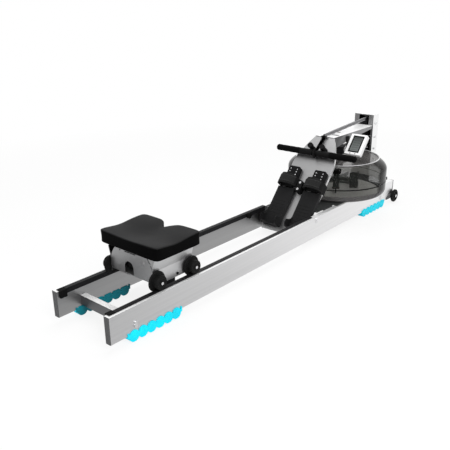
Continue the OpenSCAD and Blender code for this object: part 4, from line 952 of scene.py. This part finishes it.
def toe_strap(side, sign, width):
    """The band over a foot and the hook tape folded back on it. Across the board the band is half an
    ellipse on two uprights, y = 51.5 cos t and h = 30 + 31.8 sin t in millimetres, its outer end tucked
    under the board's folded edge. Up the board it is flat, thinner at its edges, and its upper edge
    steps back by a quarter of the width on the flanks."""
    t = np.linspace(0, np.pi, 49)
    arch = np.stack([51.5 * np.cos(t), 30 + 31.8 * np.sin(t)], -1)
    outer = np.concatenate([[[44.2, -12.8], [48, -12.6], [50.6, -10.8], [51.5, -7], [51.5, 8], [51.5, 20]],
            arch, [[-51.5, 16], [-51.5, 0.2]]])
    across = np.array([-1, -0.985, -0.96, -0.6, 0, 0.6, 0.96, 0.985, 1])
    depth = np.array([0.5, 0.75, 0.95, 1, 1, 1, 0.95, 0.75, 0.5])
    pieces = []
    for name, line, thick, half, lift, step in (
            ("toe_band_", outer, 0.0024, width / 2, 0.0, 0.26),
            ("toe_tape_", arch[9:42], 0.0013, width / 2 - 0.010, 1.0, 0.0)):
        d = unit(np.gradient(line, axis=0))
        n = np.stack([d[:, 1], -d[:, 0]], -1)
        line = (line + n * lift) / 1000
        flank = np.clip((np.abs(line[:, 0]) - 0.034) / 0.005, 0, 1)
        ring_s = np.concatenate([across, across[::-1]])[None] * half
        ring_s = ring_s * np.where(ring_s > 0, 1 - step * flank[:, None], 1)
        ring_h = np.concatenate([depth, 1 - depth[::-1]]) * thick - thick
        y = line[:, 0:1] + n[:, 0:1] * ring_h
        h = line[:, 1:2] + n[:, 1:2] * ring_h
        pts = on_board(0.267 + ring_s, sign * (0.075 + y), h)
        uv = np.stack(np.broadcast_arrays(travelled(line)[:, None], ring_s), -1).reshape(-1, 2)
        pieces.append(lofted(name + side, pts, 50.0, uv))
    return pieces


class ROWER_OT_straps(bpy.types.Operator):
    """Builds the handle strap and the two toe straps"""
    bl_idname = "rower.straps"
    bl_label = "Straps"

    def execute(self, context):
        s = sizes()
        section = band_section(0.002, s.strap_width, 0.0009)
        grey = woven("grey_webbing", colours().webbing, 3800.0, 1.5, 0.0075)
        # Two pieces meet on the top pulley: the drawn run, towards the handle, and the run that stays with
        # the frame
        path, twist = strap_route()
        drawn = along(path[:40], section, ACROSS, "pull_strap")
        drawn.data.materials.append(grey)
        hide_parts("drive_strap")
        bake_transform(drawn)
        kept = along(path[39:], section, ACROSS, "pull_strap_return", twist[39:])
        give(kept, grey, "frame", "webbing_grey")

        section = band_section(0.0014, s.leader_width, 0.0006)
        leader = along(leader_path(), section, ACROSS, "leader_webbing")
        give(leader, woven("leader_webbing", 0.008, 3800.0, 1.6, 0.0098), "handle", "strap_black",
             "strap_leader")

        black = woven("black_webbing", 0.009, 3000.0, 1.5, 0.0235)
        patch = woven("hook_tape", 0.013, 5200.0, 2.2, 0.0150)
        for side, sign in SIDES:
            strap, tape = toe_strap(side, sign, s.toe_strap_width)
            give(strap, black, "frame", "strap_black", "toe_strap_" + side)
            give(tape, patch, "frame", "strap_black")
        return {"FINISHED"}


class ROWER_OT_cords(bpy.types.Operator):
    """Builds the speed pickup with its lead, and the recoil cord"""
    bl_idname = "rower.cords"
    bl_label = "Cords"

    def execute(self, context):
        s = sizes()
        circle = arc(0, 0, 1, np.linspace(0, 2 * np.pi, 16, endpoint=False))
        # A direction that no part of either cord runs along
        up = np.array([0.31, 0.9, 0.3])
        # Lead: out of the pickup on the lid, in a loop, and up to the deck's side
        lead = np.array([
            [-50, -62, 5], [-62, -62, 5], [-76, -60, 4], [-92, -64, 3], [-108, -72, 3], [-124, -80, 3],
            [-138, -83, 4], [-148, -78, 6], [-151, -68, 11], [-146, -61, 20], [-138, -59, 32],
            [-130, -58, 44], [-122, -58, 54], [-115, -58, 61], [-112, -57, 65]], float)
        lead = smooth_path(lead / 1000 + [TANK_X, 0, LID_Z], 120)
        cable = along(lead, circle * s.lead_radius, up, "pickup_lead")
        sheath = grained("lead_sheath", 0.007, 900.0, (0.8, 1.6), (0.5, 0.65), (0.3, 0.0002),
                gloss=0.3, uv=True)
        give(cable, sheath, "frame", "cord_black", "sensor_cable")
        case = moulded("pickup_case", 0.008, (0.4, 0.5))
        body = slab("pickup", 0.024, 0.016, 0.012, 0.003, 0.0012, [TANK_X - 0.038, -0.062, LID_Z])
        give(body, case, "frame", "cord_black")
        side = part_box("top_deck")[0].y
        ring = turned("grommet", [(0.0021, side), (0.005, side), (0.005, side - 0.0022),
                (0.0042, side - 0.003), (0.0021, side - 0.003)],
                (TANK_X - 0.112, 0, TANK_Z + 0.252), "Y", 32)
        give(ring, case, "frame", "cord_black")
        # Recoil cord: from the spool over the upper cord pulley, round the lower one, to the tray
        wrap, high, low, aside = 18.4, 285.7, 91.4, -36.0
        t = np.linspace(np.pi / 2, 0, 14)
        turn = np.concatenate([arc(PULLEY_AT, high, wrap, t), arc(PULLEY_AT, low, wrap, t - np.pi / 2)])
        near = PULLEY_AT - 4
        first = np.linspace([TANK_AT, -wrap, high + wrap], [near, aside, high + wrap], 20)
        last = np.linspace([near, aside, low - wrap], [1442, aside, low - wrap], 24)
        cord = np.concatenate([first, np.insert(turn, 1, aside, axis=1), last]) / 1000 + RAIL_ORIGIN
        rope = along(cord, circle * s.cord_radius, up, "recoil_cord")
        give(rope, braided("cord_braid", 0.010, 2600.0), "frame", "cord_black", "bungee_cord")
        end = turned("cord_end", [(0.0, -0.0139), (0.0068, -0.0139), (0.008, -0.0125), (0.008, -0.0016),
                (0.0072, -0.0002), (0.0, -0.0002)],
                (REAR_X + 1.450, aside / 1000, RAIL_Z + 0.073), "X", 32)
        give(end, case, "frame", "cord_black")
        return {"FINISHED"}


class ROWER_OT_handle(bpy.types.Operator):
    """Builds the foam grips and finishes the handle"""
    bl_idname = "rower.handle"
    bl_label = "Handle"

    def execute(self, context):
        s = sizes()
        soft = grained("grip_foam", colours().foam, 1500.0, (0.8, 1.3), (0.55, 0.7), (0.4, 0.0003),
                gloss=0.02)
        low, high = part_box("handle_grips")
        x, z = (low.x + high.x) / 2, (low.z + high.z) / 2
        r, half = s.grip_radius, s.handle_length / 2
        # The grip starts beside the leader, and its end is rounded by a quarter circle over the open bar
        begin, round_off, depth = 0.086, 0.009, 0.0045
        t = np.linspace(0, np.pi / 2, 9)
        y = np.linspace(begin + 0.003, half - 0.0095, 70)
        swell = r - 0.0003 + 0.0003 * np.sin((y - begin - 0.003) / 0.0061)
        hole = [[0.0035, half - 0.0002], [0.0035, half - depth], [0.012, half - depth], [0.012, begin]]
        profile = np.concatenate([[[r - 0.0012, begin], [r - 0.0005, begin + 0.0006]],
                np.stack([swell, y], -1),
                arc(r - round_off, half - round_off, round_off, t), hole])
        for side, sign in SIDES:
            grip = turned("grip_" + side, profile * [1, sign], (x, 0, z), "Y", 64, 35.0)
            give(grip, soft, "handle", "handle_rubber", *(["handle_grips"] if sign > 0 else []))
        dress("handle_bar", moulded("bar_coat", 0.007, (0.45, 0.6)))
        return {"FINISHED"}


class ROWER_OT_monitor(bpy.types.Operator):
    """Finishes the monitor and builds its display"""
    bl_idname = "rower.monitor"
    bl_label = "Monitor"

    def execute(self, context):
        c, s = colours(), sizes()
        dress("monitor_housing", moulded("monitor_case", c.monitor, (0.3, 0.42), 1200.0, 0.05, 1.0, 0.4))
        dress("monitor_screen", moulded("bezel_black", 0.006, (0.2, 0.3), 1200.0, 0.03, 1.0))
        slope = math.radians(50)
        down = np.array([-math.cos(slope), 0, -math.sin(slope)])
        out = np.array([-math.sin(slope), 0, math.cos(slope)])
        centre = RAIL_ORIGIN + [1.662, -0.118, 0.37399] - 0.0014 * out - 0.0015 * down
        outline, n = rounded_outline(s.display_length, s.display_width, 0.002)
        # Rings of the pane: how far each is drawn in, and its height over the bezel's face
        rings = np.array([np.insert(outline - n * inset, 2, rise, axis=1)
                for inset, rise in ((0.0, -0.0006), (0.0, 0.0006), (0.0003, 0.0009))])
        on_face = centre + rings[..., 0:1] * down + rings[..., 1:2] * ACROSS + rings[..., 2:3] * out
        pane = lofted("display", on_face, 30.0, (rings[..., :2] * [-1, 1]).reshape(-1, 2))
        give(pane, display("display_glass", c.screen), "monitor", "lcd_grey")
        return {"FINISHED"}


# ---- add-on

class ROWER_PT_panel(bpy.types.Panel):
    """Lists the sizes, the colours and the steps"""
    bl_idname = "ROWER_PT_panel"
    bl_label = "Rowing machine"
    bl_space_type = "VIEW_3D"
    bl_region_type = "UI"
    bl_category = "Rower"

    def draw(self, context):
        for group_of in (sizes(), colours()):
            for key in group_of.__annotations__:
                self.layout.prop(group_of, key)
        for step in STEPS:
            self.layout.operator(step.bl_idname)


STEPS = (ROWER_OT_stage, ROWER_OT_metalwork, ROWER_OT_mouldings, ROWER_OT_cushion, ROWER_OT_straps,
        ROWER_OT_tank, ROWER_OT_cords, ROWER_OT_handle, ROWER_OT_monitor)
CLASSES = (RowerSizes, RowerColours) + STEPS + (ROWER_PT_panel,)


def register():
    for c in CLASSES:
        bpy.utils.register_class(c)
    bpy.types.Scene.rower_sizes = PointerProperty(type=RowerSizes)
    bpy.types.Scene.rower_colours = PointerProperty(type=RowerColours)


def unregister():
    del bpy.types.Scene.rower_sizes
    del bpy.types.Scene.rower_colours
    for c in reversed(CLASSES):
        bpy.utils.unregister_class(c)


def main():
    register()
    for step in STEPS:
        group_name, call = step.bl_idname.split(".")
        getattr(getattr(bpy.ops, group_name), call)()


if __name__ == "__main__":
    main()
